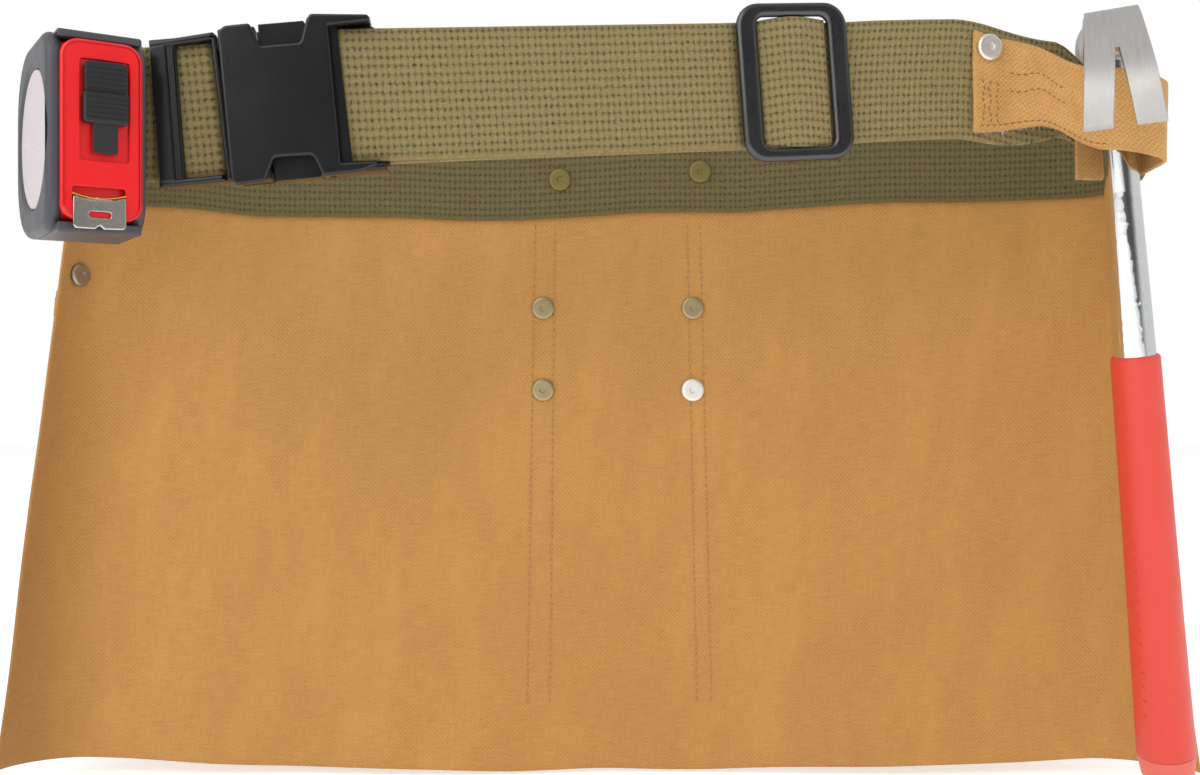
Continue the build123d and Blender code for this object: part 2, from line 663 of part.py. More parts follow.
neck = rod(7, (0, 6, 3.2), (0, 36, 3.2))
poll = chamfer(rod(13.2, (0, 30, 4.6), (0, 48, 4.6)).edges(), 1.6)
head = cheeks + claw + neck + poll - handle_hole
save("hammer_head", hammer_frame * head)

grip = ellipse_loft([(BUTT_TOP, 12.2, 16.5), (-255, 11.4, 15.8), (-190, 10.6, 14.8), (GRIP_TOP, 10, 14)])
grip = fillet(grip.faces().sort_by(Axis.Z)[-1].edges(), 1.5) - handle_hole
save("hammer_grip", hammer_frame * grip)
butt = ellipse_loft([(BUTT_TOP - 12.5, 10.5, 14.6), (BUTT_TOP - 0.05, 12.2, 16.5)])
butt = fillet(butt.faces().sort_by(Axis.Z)[0].edges(), 5)
save("grip_butt", hammer_frame * butt)
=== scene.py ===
"""Looks for the tool belt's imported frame. Lengths are millimetres until a mesh is made."""

from math import atan, cos, degrees, pi, radians, sin, tan

import bmesh
import bpy
from mathutils import Matrix, Vector, noise


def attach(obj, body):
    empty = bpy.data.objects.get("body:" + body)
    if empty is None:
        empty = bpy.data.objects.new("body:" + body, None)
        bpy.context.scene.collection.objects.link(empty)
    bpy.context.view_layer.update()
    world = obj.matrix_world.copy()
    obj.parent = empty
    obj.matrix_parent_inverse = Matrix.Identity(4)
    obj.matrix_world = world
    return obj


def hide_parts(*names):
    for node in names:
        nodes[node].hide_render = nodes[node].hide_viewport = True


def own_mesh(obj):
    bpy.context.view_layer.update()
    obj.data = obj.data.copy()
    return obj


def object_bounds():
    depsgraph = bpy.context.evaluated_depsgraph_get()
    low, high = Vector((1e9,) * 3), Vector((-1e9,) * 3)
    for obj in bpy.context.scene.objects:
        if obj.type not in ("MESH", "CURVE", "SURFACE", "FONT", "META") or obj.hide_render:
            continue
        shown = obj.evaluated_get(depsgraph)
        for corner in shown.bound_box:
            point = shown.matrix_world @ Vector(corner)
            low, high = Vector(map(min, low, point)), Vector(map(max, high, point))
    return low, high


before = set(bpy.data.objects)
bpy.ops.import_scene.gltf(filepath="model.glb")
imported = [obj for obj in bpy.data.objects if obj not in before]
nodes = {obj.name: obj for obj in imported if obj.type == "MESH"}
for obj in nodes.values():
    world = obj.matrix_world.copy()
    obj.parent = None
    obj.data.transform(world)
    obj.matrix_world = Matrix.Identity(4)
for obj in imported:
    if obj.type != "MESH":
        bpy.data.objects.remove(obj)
cad_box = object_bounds()

# The part's dimensions
WEB_WIDTH = 50.8
WEB_THICK = 2.2
CLOTH = 1.4
LOOP_CLOTH = 1.8
REAR_Y = 75
LEFT_END = Vector((-171.7, -87.7, 0))
LEFT_YAW = 33
RIGHT_X = 248
BAR_AT = Vector((-81.3, -78.3, 1.0))
FRONT_SLOPE = 0.228
FRONT_RISE = 0.079
STRAP_YAW = degrees(atan(FRONT_SLOPE))
STRAP_PITCH = degrees(atan(FRONT_RISE * cos(radians(STRAP_YAW))))
APRON_TOP = 19
APRON_BOTTOM = -294
APRON_SAG = 9
APRON_FLARE = 0.00049
APRON_IN = 1.25
APRON_OUT = 2.65
POCKET_IN = 3.25
LARGE_MOUTH = -64
NAIL_MOUTH = -106
POCKET_BOTTOM = -280
NAIL_BOTTOM = -262
POCKET_GAP = (-24, 42)
LARGE_DEPTH = 44
NAIL_DEPTH = 26
FLANGE = 9
WALL = 7
SQUARE = 0.62
END_MARGIN = 4
BUCKLE_AT = Vector((-140.7, -84.6, -5.8))
LADDER_END = -25.2
SLIDER_X = 79
LOOP_END_X = SLIDER_X - 19.3
WRAP = 17
HEAD_AT = Vector((212, -36, 30.5))
HAMMER_END = Vector((247, -10, -278))
HAMMER_YAW = -19.5
TAPE_AT = Vector((-194.6, -88.8, -20))


# ---- materials


class Nodes:
    """A node tree, built up node by node."""

    def __init__(self, tree):
        self.tree = tree

    def feed(self, socket, value):
        """Set a socket, to a value or another socket."""
        if isinstance(value, bpy.types.NodeSocket):
            self.tree.links.new(value, socket)
        else:
            socket.default_value = value

    def node(self, kind, **inputs):
        made = self.tree.nodes.new("ShaderNode" + kind)
        for name, value in inputs.items():
            self.feed(made.inputs[name.replace("_", " ")], value)
        return made

    def math(self, operation, *values):
        made = self.tree.nodes.new("ShaderNodeMath")
        made.operation = operation
        for socket, value in zip(made.inputs, values):
            self.feed(socket, value)
        return made.outputs[0]

    def place(self, frame_matrix=None):
        """The object's own coordinates, or those of a frame in it."""
        made = self.node("TexCoord").outputs["Object"]
        if frame_matrix is None:
            return made
        back = frame_matrix.inverted()
        mapping = self.node("Mapping", Vector=made)
        mapping.inputs["Location"].default_value = back.to_translation() * 0.001
        mapping.inputs["Rotation"].default_value = back.to_euler()
        return mapping.outputs[0]

    def weave(self):
        """Metres along and across the cloth."""
        made = self.tree.nodes.new("ShaderNodeAttribute")
        made.attribute_name = "weave"
        return made.outputs["Vector"]

    def parts(self, vector):
        return self.node("SeparateXYZ", Vector=vector).outputs

    def stretched(self, vector, scale):
        """The same coordinates at another scale on each axis."""
        made = self.tree.nodes.new("ShaderNodeVectorMath")
        made.operation = "MULTIPLY"
        self.feed(made.inputs[0], vector)
        made.inputs[1].default_value = scale
        return made.outputs[0]

    def noise(self, vector, scale, detail=2.0, roughness=0.5):
        made = self.node("TexNoise", Vector=vector, Scale=scale, Detail=detail, Roughness=roughness)
        return made.outputs["Fac"]

    def ramp(self, value, low, high, start=0.0, end=1.0, easing="LINEAR"):
        """The value from low to high, mapped from start to end."""
        made = self.node("MapRange", Value=value)
        made.interpolation_type = easing
        for socket, number in zip(list(made.inputs)[1:5], (low, high, start, end)):
            self.feed(socket, number)
        return made.outputs[0]

    def blend(self, factor, first, second):
        """A mix of two colours."""
        made = self.tree.nodes.new("ShaderNodeMix")
        made.data_type = "RGBA"
        self.feed(made.inputs[0], factor)
        for socket, value in zip((made.inputs[6], made.inputs[7]), (first, second)):
            self.feed(socket, value if isinstance(value, bpy.types.NodeSocket) else (*value, 1))
        return made.outputs[2]

    def bump(self, height, distance, normal=None):
        made = self.node("Bump", Height=height, Distance=distance)
        made.inputs["Strength"].default_value = 1
        if normal is not None:
            self.feed(made.inputs["Normal"], normal)
        return made.outputs[0]

    def soft_edges(self, radius):
        """Normals that round off sharp edges."""
        made = self.node("Bevel", Radius=radius)
        made.samples = 4
        return made.outputs[0]

    def times(self, first, second):
        return self.math("MULTIPLY", first, second)

    def sum_of(self, first, factor, added):
        """The first value times a factor, with something added."""
        return self.math("MULTIPLY_ADD", first, factor, added)

    def wave(self, length, period):
        """The cosine of a length in metres, with this period."""
        return self.math("COSINE", self.times(length, 2 * pi / period))


class Shader(Nodes):
    """One procedural material."""

    def __init__(self, name, colour, roughness, **settings):
        self.material = bpy.data.materials.new(name)
        self.material.use_nodes = True
        super().__init__(self.material.node_tree)
        self.surface = self.tree.nodes["Principled BSDF"]
        self.put("Base Color", (*colour, 1))
        self.put("Roughness", roughness)
        for key, value in settings.items():
            self.put(key.replace("_", " ").title().replace("Ior", "IOR"), value)

    def put(self, name, value):
        """Set one of the surface's sockets."""
        self.feed(self.surface.inputs[name], value)


COLUMN_PITCH, ROW_PITCH = 0.0025, 0.0034  # the webbing's weave, in metres


def webbing_material(name, light, dark, tint):
    """Coarse cotton webbing: rows of short ribs, with a stem and a crossbar of shade between them."""
    s = Shader(name, light, 0.95, sheen_weight=0.05, sheen_roughness=0.6)
    weave = s.weave()
    along, across, _ = s.parts(weave)
    sunk = s.sum_of(s.noise(weave, 380, 2), 0.0011, across)
    shifted = s.sum_of(s.noise(weave, 420, 2), 0.0019, along)
    columns = s.sum_of(s.wave(shifted, COLUMN_PITCH), 0.5, 0.5)
    rows = s.sum_of(s.wave(sunk, ROW_PITCH), 0.5, 0.5)
    valley = s.math("SUBTRACT", 1, rows)
    ragged = s.ramp(s.noise(weave, 1000, 3, 0.75), 0.32, 0.66, 0.15, 1.35)
    bar = s.times(s.math("POWER", valley, 5), ragged)
    stem = s.times(s.math("POWER", columns, 3), s.math("POWER", valley, 0.6))
    stem = s.times(stem, ragged)
    fuzz = s.noise(weave, 2400, 3, 0.7)
    lift = s.sum_of(bar, -0.45, s.sum_of(stem, -1, fuzz))
    patch = s.ramp(s.noise(weave, 60, 3), 0.42, 0.66)
    body = s.blend(s.times(patch, 0.45), light, tint)
    thread = s.ramp(s.noise(s.stretched(weave, (1, 4, 1)), 520, 3), 0.4, 0.65)
    body = s.blend(s.times(thread, 0.5), body, [c * 1.45 for c in light])
    hollow = s.math("MINIMUM", s.math("ADD", s.times(bar, 0.27), s.times(stem, 0.62)), 1)
    woven = s.blend(hollow, body, dark)
    # Painted shade: the webbing's back run, behind the front strap, is darkened by its place
    inside = s.ramp(s.parts(s.place())[1], 0.01, 0.05)
    s.put("Base Color", s.blend(inside, woven, s.blend(0.5, woven, (0.03, 0.034, 0.006))))
    s.put("Normal", s.bump(lift, 0.0007))
    return s.material


def canvas_material(name, light, dark, scale):
    """Heavy cotton duck in plain weave, with slubs and a little mottling."""
    s = Shader(name, light, 0.92, sheen_weight=0.1, sheen_roughness=0.5)
    weave = s.weave()
    along, across, _ = s.parts(weave)
    shifted = s.sum_of(s.noise(weave, 320, 2), 0.0012 * scale, along)
    sunk = s.sum_of(s.noise(weave, 380, 2), 0.0009 * scale, across)
    check = s.times(s.wave(shifted, 0.0035 * scale), s.wave(sunk, 0.0033 * scale))
    weft = s.noise(s.stretched(weave, (1, 14, 1)), 110, 3, 0.65)
    warp = s.noise(s.stretched(weave, (14, 1, 1)), 110, 3, 0.65)
    fuzz = s.noise(weave, 1500, 3, 0.75)
    lift = s.sum_of(check, 0.4, s.times(fuzz, 0.7))
    lift = s.sum_of(weft, 0.9, lift)
    lift = s.sum_of(warp, 0.6, lift)
    shade = s.sum_of(s.ramp(check, -1, 0.8), 0.22, s.times(weft, 0.45))
    shade = s.sum_of(warp, 0.3, shade)
    shade = s.sum_of(fuzz, 0.3, shade)
    body = s.blend(s.ramp(shade, 0.42, 0.88), dark, light)
    streak = s.noise(s.stretched(weave, (1, 0.25, 1)), 38, 4, 0.65)
    body = s.blend(s.times(s.ramp(streak, 0.45, 0.75), 0.3), body, [c * 1.14 for c in light])
    worn = s.ramp(s.noise(weave, 11, 4, 0.6), 0.38, 0.7)
    body = s.blend(s.times(worn, 0.2), body, dark)
    # Painted shade: the cloth is darker towards the apron's left edge
    side = s.ramp(s.parts(s.place())[0], -0.283, -0.246, 0.55, 0)
    body = s.blend(side, body, [c * 0.72 for c in dark])
    speck = s.ramp(s.noise(weave, 700, 1), 0.75, 0.79)
    body = s.blend(s.times(speck, 0.4), body, [c * 0.5 for c in dark])
    s.put("Base Color", body)
    s.put("Normal", s.bump(lift, 0.00028 * scale))
    return s.material


def thread_material(name, colour):
    """Twisted sewing thread."""
    s = Shader(name, colour, 0.75, sheen_weight=0.3, sheen_roughness=0.4)
    strands = s.noise(s.place(), 1800, 2)
    s.put("Base Color", s.blend(strands, [c * 0.6 for c in colour], [c * 1.25 for c in colour]))
    s.put("Normal", s.bump(strands, 0.0001))
    return s.material


def moulded_material(name, colour, roughness, grain=0.00004, edge=0.0006, **settings):
    """Moulded plastic or rubber: fine grain, slightly uneven gloss, rounded edges."""
    s = Shader(name, colour, roughness, **settings)
    place = s.place()
    gloss = s.noise(place, 45, 4, 0.6)
    s.put("Roughness", s.ramp(gloss, 0.3, 0.7, roughness * 0.8, min(1, roughness * 1.2)))
    dust = s.ramp(s.noise(place, 260, 5, 0.7), 0.52, 0.8)
    s.put("Base Color", s.blend(s.times(dust, 0.12), colour, [c * 0.75 + 0.02 for c in colour]))
    s.put("Normal", s.bump(s.noise(place, 1900, 2), grain, s.soft_edges(edge)))
    return s.material


def metal_material(name, colour, roughness, brushed=(1, 1, 1), depth=0.00002, edge=0.0004, frame_matrix=None):
    """Plated or ground metal, with scratches along one direction."""
    s = Shader(name, colour, roughness, metallic=1.0)
    place = s.place(frame_matrix)
    lines = s.noise(s.stretched(place, brushed), 900, 4, 0.7)
    smudge = s.noise(place, 60, 4, 0.6)
    uneven = s.sum_of(lines, 0.45, s.times(smudge, 0.55))
    s.put("Roughness", s.ramp(uneven, 0.25, 0.75, roughness * 0.75, min(1, roughness * 1.3)))
    s.put("Base Color", s.blend(s.ramp(lines, 0.3, 0.7), [c * 0.86 for c in colour], colour))
    s.put("Normal", s.bump(lines, depth, s.soft_edges(edge)))
    return s.material


def touched_up(material, spots):
    """Give a material another colour and roughness near some places.

    Each spot is (place in metres, radius, colour, roughness).
    """
    made = Nodes(material.node_tree)
    sockets = made.tree.nodes["Principled BSDF"].inputs
    where = made.node("TexCoord").outputs["Object"]
    for spot, radius, colour, roughness in spots:
        apart = made.node("VectorMath")
        apart.operation = "DISTANCE"
        made.feed(apart.inputs[0], where)
        made.feed(apart.inputs[1], spot)
        near = made.math("LESS_THAN", apart.outputs["Value"], radius)
        gloss = made.ramp(near, 0, 1, sockets["Roughness"].links[0].from_socket, roughness)
        tint = made.blend(near, sockets["Base Color"].links[0].from_socket, colour)
        made.feed(sockets["Roughness"], gloss)
        made.feed(sockets["Base Color"], tint)


def paint(material, *names):
    """Give CAD nodes a material."""
    for name in names:
        data = nodes[name].data
        data.materials.clear()
        data.materials.append(material)


# ---- meshes


def make_mesh(name, points, faces, material, weave=None):
    """An object from points in millimetres, riding on nothing yet."""
    data = bpy.data.meshes.new(name)
    data.from_pydata([Vector(p) * 0.001 for p in points], [], faces)
    data.materials.append(material)
    data.polygons.foreach_set("use_smooth", [True] * len(data.polygons))
    if weave is not None:
        attribute = data.attributes.new("weave", "FLOAT_VECTOR", "POINT")
        flat = [c * 0.001 for u, v in weave for c in (u, v, 0)]
        attribute.data.foreach_set("vector", flat)
    data.update()
    made = bpy.data.objects.new(name, data)
    bpy.context.scene.collection.objects.link(made)
    return made


def grid_normals(rows):
    """The unit normal at each point of a grid."""
    normals = []
    for i, row in enumerate(rows):
        up, down = rows[max(i - 1, 0)], rows[min(i + 1, len(rows) - 1)]
        line = []
        for j in range(len(row)):
            across = row[min(j + 1, len(row) - 1)] - row[max(j - 1, 0)]
            line.append(across.cross(down[j] - up[j]).normalized())
        normals.append(line)
    return normals


def cloth(name, rows, low, high, material, start=(0, 0), swell=None):
    """A closed sheet over a grid of points, from low to high along the grid's normals, with a rounded rim.

    swell(i, j) is how much further the high side stands off at a point.
    """
    normals = grid_normals(rows)
    last, end = len(rows) - 1, len(rows[0]) - 1
    inset = (high - low) * 0.35
    points, weave = [], []
    span = [[0.0] * (end + 1) for _ in rows]
    fall = [[0.0] * (end + 1) for _ in rows]
    for i in range(last + 1):
        for j in range(end + 1):
            if j:
                span[i][j] = span[i][j - 1] + (rows[i][j] - rows[i][j - 1]).length
            if i:
                fall[i][j] = fall[i - 1][j] + (rows[i][j] - rows[i - 1][j]).length
    for lift in (low, high):
        for i in range(last + 1):
            for j in range(end + 1):
                p = rows[i][j] + normals[i][j] * lift
                if lift == high and swell:
                    p += normals[i][j] * swell(i, j)
                if i in (0, last):
                    p += (rows[1 if i == 0 else last - 1][j] - rows[i][j]).normalized() * inset
                if j in (0, end):
                    p += (rows[i][1 if j == 0 else end - 1] - rows[i][j]).normalized() * inset
                points.append(p)
                weave.append((start[0] + span[i][j], start[1] + fall[i][j]))
    size = len(points) // 2
    at = lambda skin, i, j: skin * size + i * (end + 1) + j
    faces = []
    for i in range(last):
        for j in range(end):
            faces.append((at(0, i, j), at(0, i, j + 1), at(0, i + 1, j + 1), at(0, i + 1, j)))
            faces.append((at(1, i, j), at(1, i + 1, j), at(1, i + 1, j + 1), at(1, i, j + 1)))
    border = [(0, j) for j in range(end)] + [(i, end) for i in range(last)]
    border += [(last, j) for j in range(end, 0, -1)] + [(i, 0) for i in range(last, 0, -1)]
    first = len(points)
    for i, j in border:
        middle = (points[at(0, i, j)] + points[at(1, i, j)]) / 2
        points.append(middle + (rows[i][j] - middle + normals[i][j] * (low + high) / 2))
        weave.append(weave[at(0, i, j)])
    for k, (i, j) in enumerate(border):
        after = (k + 1) % len(border)
        ni, nj = border[after]
        faces.append((at(0, i, j), first + k, first + after, at(0, ni, nj)))
        faces.append((first + k, at(1, i, j), at(1, ni, nj), first + after))
    return make_mesh(name, points, faces, material, weave)


def rounded_line(corners, step):
    """Points along a line through corners (x, y, radius), each rounded with a point every step degrees."""
    points = [Vector((*corners[0][:2], 0))]
    for before, here, after in zip(corners, corners[1:], corners[2:]):
        corner = Vector((*here[:2], 0))
        back = (Vector((*before[:2], 0)) - corner).normalized()
        ahead = (Vector((*after[:2], 0)) - corner).normalized()
        half = back.angle(ahead) / 2
        centre = corner + (back + ahead).normalized() * (here[2] / sin(half))
        arm = corner + back * (here[2] / tan(half)) - centre
        turn = pi - 2 * half
        side = -1 if back.cross(ahead).z > 0 else 1
        count = max(3, round(degrees(turn) / step))
        points += [centre + Matrix.Rotation(side * turn * i / count, 3, "Z") @ arm for i in range(count + 1)]
    return points + [Vector((*corners[-1][:2], 0))]


def divided(points, longest):
    """The same line with more points on its long runs."""
    line = []
    for start, end in zip(points, points[1:]):
        count = max(1, round((end - start).length / longest))
        line += [start + (end - start) * (i / count) for i in range(count)]
    return line + points[-1:]


def stops_along(points):
    """How far along a line each of its points is."""
    stops = [0.0]
    for here, after in zip(points, points[1:]):
        stops.append(stops[-1] + (after - here).length)
    return stops


def point_along(points, stops, distance):
    """The point at a distance along a line, and the line's direction there."""
    k = next((i for i, stop in enumerate(stops[1:]) if distance <= stop), len(stops) - 2)
    along = (points[k + 1] - points[k]).normalized()
    return points[k] + along * (distance - stops[k]), along


def between(value, stops):
    """The height at a value, eased between (value, height) stops."""
    if value <= stops[0][0]:
        return stops[0][1]
    for (a, low), (b, high) in zip(stops, stops[1:]):
        if value <= b:
            t = (value - a) / (b - a)
            return low + (high - low) * t * t * (3 - 2 * t)
    return stops[-1][1]


def tilted(origin, yaw, pitch):
    """A frame whose X runs along a strap, whose Z is across it and whose -Y is its outer side."""
    yaw, pitch = radians(yaw), radians(pitch)
    along = Vector((cos(yaw) * cos(pitch), sin(yaw) * cos(pitch), sin(pitch)))
    across = Vector((-cos(yaw) * sin(pitch), -sin(yaw) * sin(pitch), cos(pitch)))
    turned = Matrix((along, across.cross(along), across)).transposed().to_4x4()
    return Matrix.Translation(origin) @ turned


def strap_at(x):
    """A point on the front strap's middle."""
    return Vector((x, BAR_AT.y + FRONT_SLOPE * (x - BAR_AT.x), BAR_AT.z + FRONT_RISE * (x - BAR_AT.x)))


strap_frame = tilted(strap_at(SLIDER_X), STRAP_YAW, STRAP_PITCH)
buckle_frame = tilted(BUCKLE_AT, 5.7, 6.5)
tape_frame = Matrix.Translation(TAPE_AT) @ Matrix.Rotation(radians(LEFT_YAW), 4, "Z")
hammer_up = (HEAD_AT - HAMMER_END).normalized()
hammer_x = Vector((cos(radians(HAMMER_YAW)), sin(radians(HAMMER_YAW)), 0))
hammer_y = hammer_up.cross(hammer_x).normalized()
hammer_x = hammer_y.cross(hammer_up)
hammer_frame = Matrix.Translation(HEAD_AT) @ Matrix((hammer_x, hammer_y, hammer_up)).transposed().to_4x4()


def uneven(point, size, amount, seed=0.0):
    """A smooth wandering number for a place, up to about amount either way."""
    return noise.noise(Vector(point) / size + Vector((seed, seed * 1.7, seed * 0.3))) * amount


# ---- the waist loop

OLIVE = webbing_material("webbing_weave", (0.275, 0.218, 0.082), (0.05, 0.034, 0.011), (0.32, 0.19, 0.09))
CANVAS = canvas_material("canvas_duck", (0.61, 0.318, 0.088), (0.36, 0.17, 0.043), 0.6)
LOOP_CANVAS = canvas_material("loop_duck", (0.7, 0.4, 0.135), (0.36, 0.17, 0.045), 0.62)
THREAD = thread_material("canvas_thread", (0.46, 0.24, 0.07))
PALE_THREAD = thread_material("loop_thread", (0.3, 0.13, 0.04))
FRAY = thread_material("frayed_thread", (0.72, 0.66, 0.55))
EDGE_THREAD = thread_material("webbing_thread", (0.12, 0.085, 0.03))

left_run = Vector((-sin(radians(LEFT_YAW)), cos(radians(LEFT_YAW)), 0))
rear_left = LEFT_END + left_run * ((REAR_Y - LEFT_END.y) / left_run.y)
right_front = strap_at(RIGHT_X)
loop_start = buckle_frame @ Vector((LADDER_END, 0, 0))
plan = rounded_line(
    [
        (loop_start.x, loop_start.y),
        (LEFT_END.x, LEFT_END.y, 6),
        (rear_left.x, REAR_Y, 30),
        (RIGHT_X, REAR_Y, 36),
        (right_front.x, right_front.y, 36),
        (LOOP_END_X, strap_at(LOOP_END_X).y),
    ],
    5,
)

REAR_HEIGHTS = [(-225, 5), (-150, 0), (-40, -1.5), (50, 2.4), (150, 7.2), (230, 8.4)]


def loop_height(point):
    """How high the webbing's middle is at a point of the plan."""
    if point.y > 60:
        return between(point.x, REAR_HEIGHTS)
    if point.x < -150:
        return between(point.y, [(-88, -8.6), (60, 5)])
    if point.x > 215:
        return between(point.y, [(-5, -1.5), (60, 8.4)])
    if point.x > 150:
        return between(point.x, [(150, strap_at(150).z), (195, 12), (219, -1.5)])
    return strap_at(point.x).z


def loop_rise(point):
    """How far the webbing's lower edge is drawn up where the strap turns back at the right."""
    if point.x < 150 or point.y > 60:
        return 0
    if point.x > 215:
        return between(point.y, [(-5, 14), (50, 0)])
    return between(point.x, [(160, 0), (219, 14)])


loop_plan = divided(plan, 4)
web_rows = []
for k in range(13):
    share = k / 12
    row = []
    for p in loop_plan:
        z = loop_height(p) + WEB_WIDTH * (0.5 - share) + loop_rise(p) * share
        z += uneven(p, 55, 1.1) + uneven(p, 21, 0.35, 7)
        row.append(Vector((p.x, p.y, z)))
    web_rows.append(row)
webbing = cloth("waist_webbing", web_rows, -WEB_THICK / 2, WEB_THICK / 2, OLIVE)


def framed_strap(name, corners, place):
    """A strap along corners (x, y, radius) in a strap's frame."""
    path = [place @ p for p in divided(rounded_line(corners, 12), 5)]
    up = place.to_3x3() @ Vector((0, 0, 1))
    rows = [[p + up * (WEB_WIDTH * (0.5 - k / 10)) for p in path] for k in range(11)]
    return cloth(name, rows, -WEB_THICK / 2, WEB_THICK / 2, OLIVE)


tail = framed_strap(
    "strap_tail",
    [(LADDER_END + 1, 0), (-4, 0, 1.5), (-4, 8.3, 1.5), (38, 8.3)],
    buckle_frame,
)
bar_back = -(strap_at(SLIDER_X) - BAR_AT).length
front_strap = framed_strap(
    "front_strap",
    [
        (LOOP_END_X - SLIDER_X - 3, 0),
        (bar_back - WRAP, 0, 2),
        (bar_back - WRAP, 8.8, 2),
        (bar_back + 3, 7.4, 10),
        (bar_back + 40, 5.9, 10),
        (-5, 5.9),
    ],
    strap_frame,
)
slider_strap = framed_strap("slider_strap", [(-37, 2.7), (-4.4, 2.7)], strap_frame)


def window_row(share):
    """Across the slider's window, where the webbing swells forward and stands a little taller."""
    row = []
    for k in range(29):
        x = -14.8 + 29.6 * k / 28
        swell = max(0, cos(pi * x / 30)) ** 1.2
        height = WEB_WIDTH * (0.5 - share) * (1 + 0.045 * swell)
        row.append(strap_frame @ Vector((x, -2.0 - 2.4 * swell, height)))
    return row


window_strap = cloth("window_strap", [window_row(k / 30) for k in range(31)], -0.75, 0.75, OLIVE, (0.7, 0))

# ---- apron and pockets

first = next(i for i, p in enumerate(plan) if p.x < rear_left.x + 26 and p.y > REAR_Y - 30)
apron_plan = [p for p in plan[first:] if p.y > REAR_Y - 37]
apron_stops = stops_along(apron_plan)
apron_length = apron_stops[-1]


def plan_at(distance):
    """The apron's line in plan and its outward direction, at a distance from its left end."""
    here, along = point_along(apron_plan, apron_stops, distance)
    return here, Vector((-along.y, along.x, 0))


def drape(distance, z):
    """How far the hanging cloth swings off its even surface."""
    free = max(0, min(1, (-62 - z) / 230))
    ripple = sin(distance / 41 + 0.6) * 1.6 + sin(distance / 23 - z / 160) * 0.7
    return free * (ripple + uneven((distance, z, 0), 60, 3.2, 4))


def on_apron(distance, z, lift):
    """A point over the apron: it flares towards its hem."""
    point, outward = plan_at(distance)
    drop = max(0, -WEB_WIDTH / 2 - z)
    swing = lift + drape(distance, z)
    return Vector((point.x * (1 + APRON_FLARE * drop), point.y, z)) + outward * swing


def hem(distance):
    """The hem's height: lowest in the middle."""
    share = distance / apron_length
    return APRON_BOTTOM - APRON_SAG * sin(pi * share) + uneven((distance, 0, 0), 45, 1.4, 9)


def distance_at(x):
    """How far along the apron an X on its straight run is."""
    straight = next(i for i, p in enumerate(apron_plan) if p.y > REAR_Y - 0.01)
    return apron_stops[straight] + x - apron_plan[straight].x


apron_columns = [apron_length * j / 150 for j in range(151)]
apron_rows = [
    [on_apron(s, APRON_TOP + (hem(s) - APRON_TOP) * (i / 70), 0) for s in apron_columns] for i in range(71)
]
apron = cloth("apron", apron_rows, APRON_IN, APRON_OUT, CANVAS)


def large_lift(s, length, z):
    """How far a large pocket's cloth stands off the apron."""
    share = max(0, (z - LARGE_MOUTH) / (POCKET_BOTTOM - LARGE_MOUTH))
    belly = LARGE_DEPTH * (1 - min(1, share) ** 4) * (1 - 0.35 * share)
    edge = min(s, length - s) - FLANGE
    if edge <= 0:
        return 0
    if edge <= WALL:
        return belly * SQUARE * edge / WALL
    crown = sin(pi * (edge - WALL) / (length - 2 * (FLANGE + WALL)))
    return belly * (SQUARE + (1 - SQUARE) * crown)


def pocket_stops(length):
    """Where a large pocket's columns are."""
    inside = length - 2 * (FLANGE + WALL)
    wall = [FLANGE + WALL * k / 4 for k in range(4)]
    stops = [0, FLANGE / 2] + wall + [FLANGE + WALL + inside * i / 44 for i in range(45)]
    return stops + [length - w for w in reversed(wall)] + [length - FLANGE / 2, length]


def sag(s, z, share):
    """Wrinkles in a pocket's cloth, most of them in its lower half."""
    fold = uneven((s, z * 0.6, 0), 26, 3.0, 2) + uneven((s * 0.5, z, 0), 17, 1.4, 5)
    return fold * sin(pi * min(1, max(0, share))) ** 0.7


pocket_grids = {}


def large_pocket(name, start, end):
    length = end - start
    stops = pocket_stops(length)
    rows = []
    for k in range(45):
        share = k / 44
        z = LARGE_MOUTH + (POCKET_BOTTOM - LARGE_MOUTH) * share
        row = []
        for s in stops:
            off = large_lift(s, length, z)
            inner = min(1, off / 6)
            lift = POCKET_IN + off + inner * sag(start + s, z, share * 0.9 + 0.05)
            dip = 3.5 * sin(pi * s / length) * inner if k == 0 else 0
            row.append(on_apron(start + s, z - dip, lift))
        rows.append(row)
    rows.append([on_apron(start + s, POCKET_BOTTOM - FLANGE / 2, POCKET_IN) for s in stops])
    rows.append([on_apron(start + s, POCKET_BOTTOM - FLANGE, POCKET_IN) for s in stops])
    pocket_grids[name] = rows
    return cloth(name, rows, 0, CLOTH, CANVAS, (start, 40), lambda i, j: 1.1 if i < 3 else 0)


def nail_pocket(name, start, end):
    """The smaller pocket sewn to the face of a large one, which it follows."""
    length = end - start
    inset = FLANGE + WALL + 3
    rows = []
    for k in range(33):
        share = k / 32
        z = NAIL_MOUTH + (NAIL_BOTTOM - NAIL_MOUTH) * share
        row = []
        for i in range(41):
            s = inset + (length - 2 * inset) * i / 40
            bulge = NAIL_DEPTH * (1 - share**3) * sin(pi * i / 40) ** 0.5
            inner = min(1, bulge / 5)
            under = sag(start + s, z, (z - LARGE_MOUTH) / (POCKET_BOTTOM - LARGE_MOUTH) * 0.9 + 0.05)
            off = POCKET_IN + CLOTH + 0.6 + large_lift(s, length, z) + under * (1 - inner * 0.4)
            row.append(on_apron(start + s, z, off + bulge + inner * sag(start + s + 90, z, share * 0.9)))
        rows.append(row)
    pocket_grids[name] = rows
    return cloth(name, rows, 0, CLOTH, CANVAS, (start, 90), lambda i, j: 1.1 if i < 3 else 0)


left_inner = distance_at(POCKET_GAP[0])
right_inner = distance_at(POCKET_GAP[1])
left_pocket = large_pocket("left_pocket", END_MARGIN, left_inner)
right_pocket = large_pocket("right_pocket", right_inner, apron_length - END_MARGIN)
left_nails = nail_pocket("left_nails", END_MARGIN, left_inner)
right_nails = nail_pocket("right_nails", right_inner, apron_length - END_MARGIN)

# ---- hammer loop

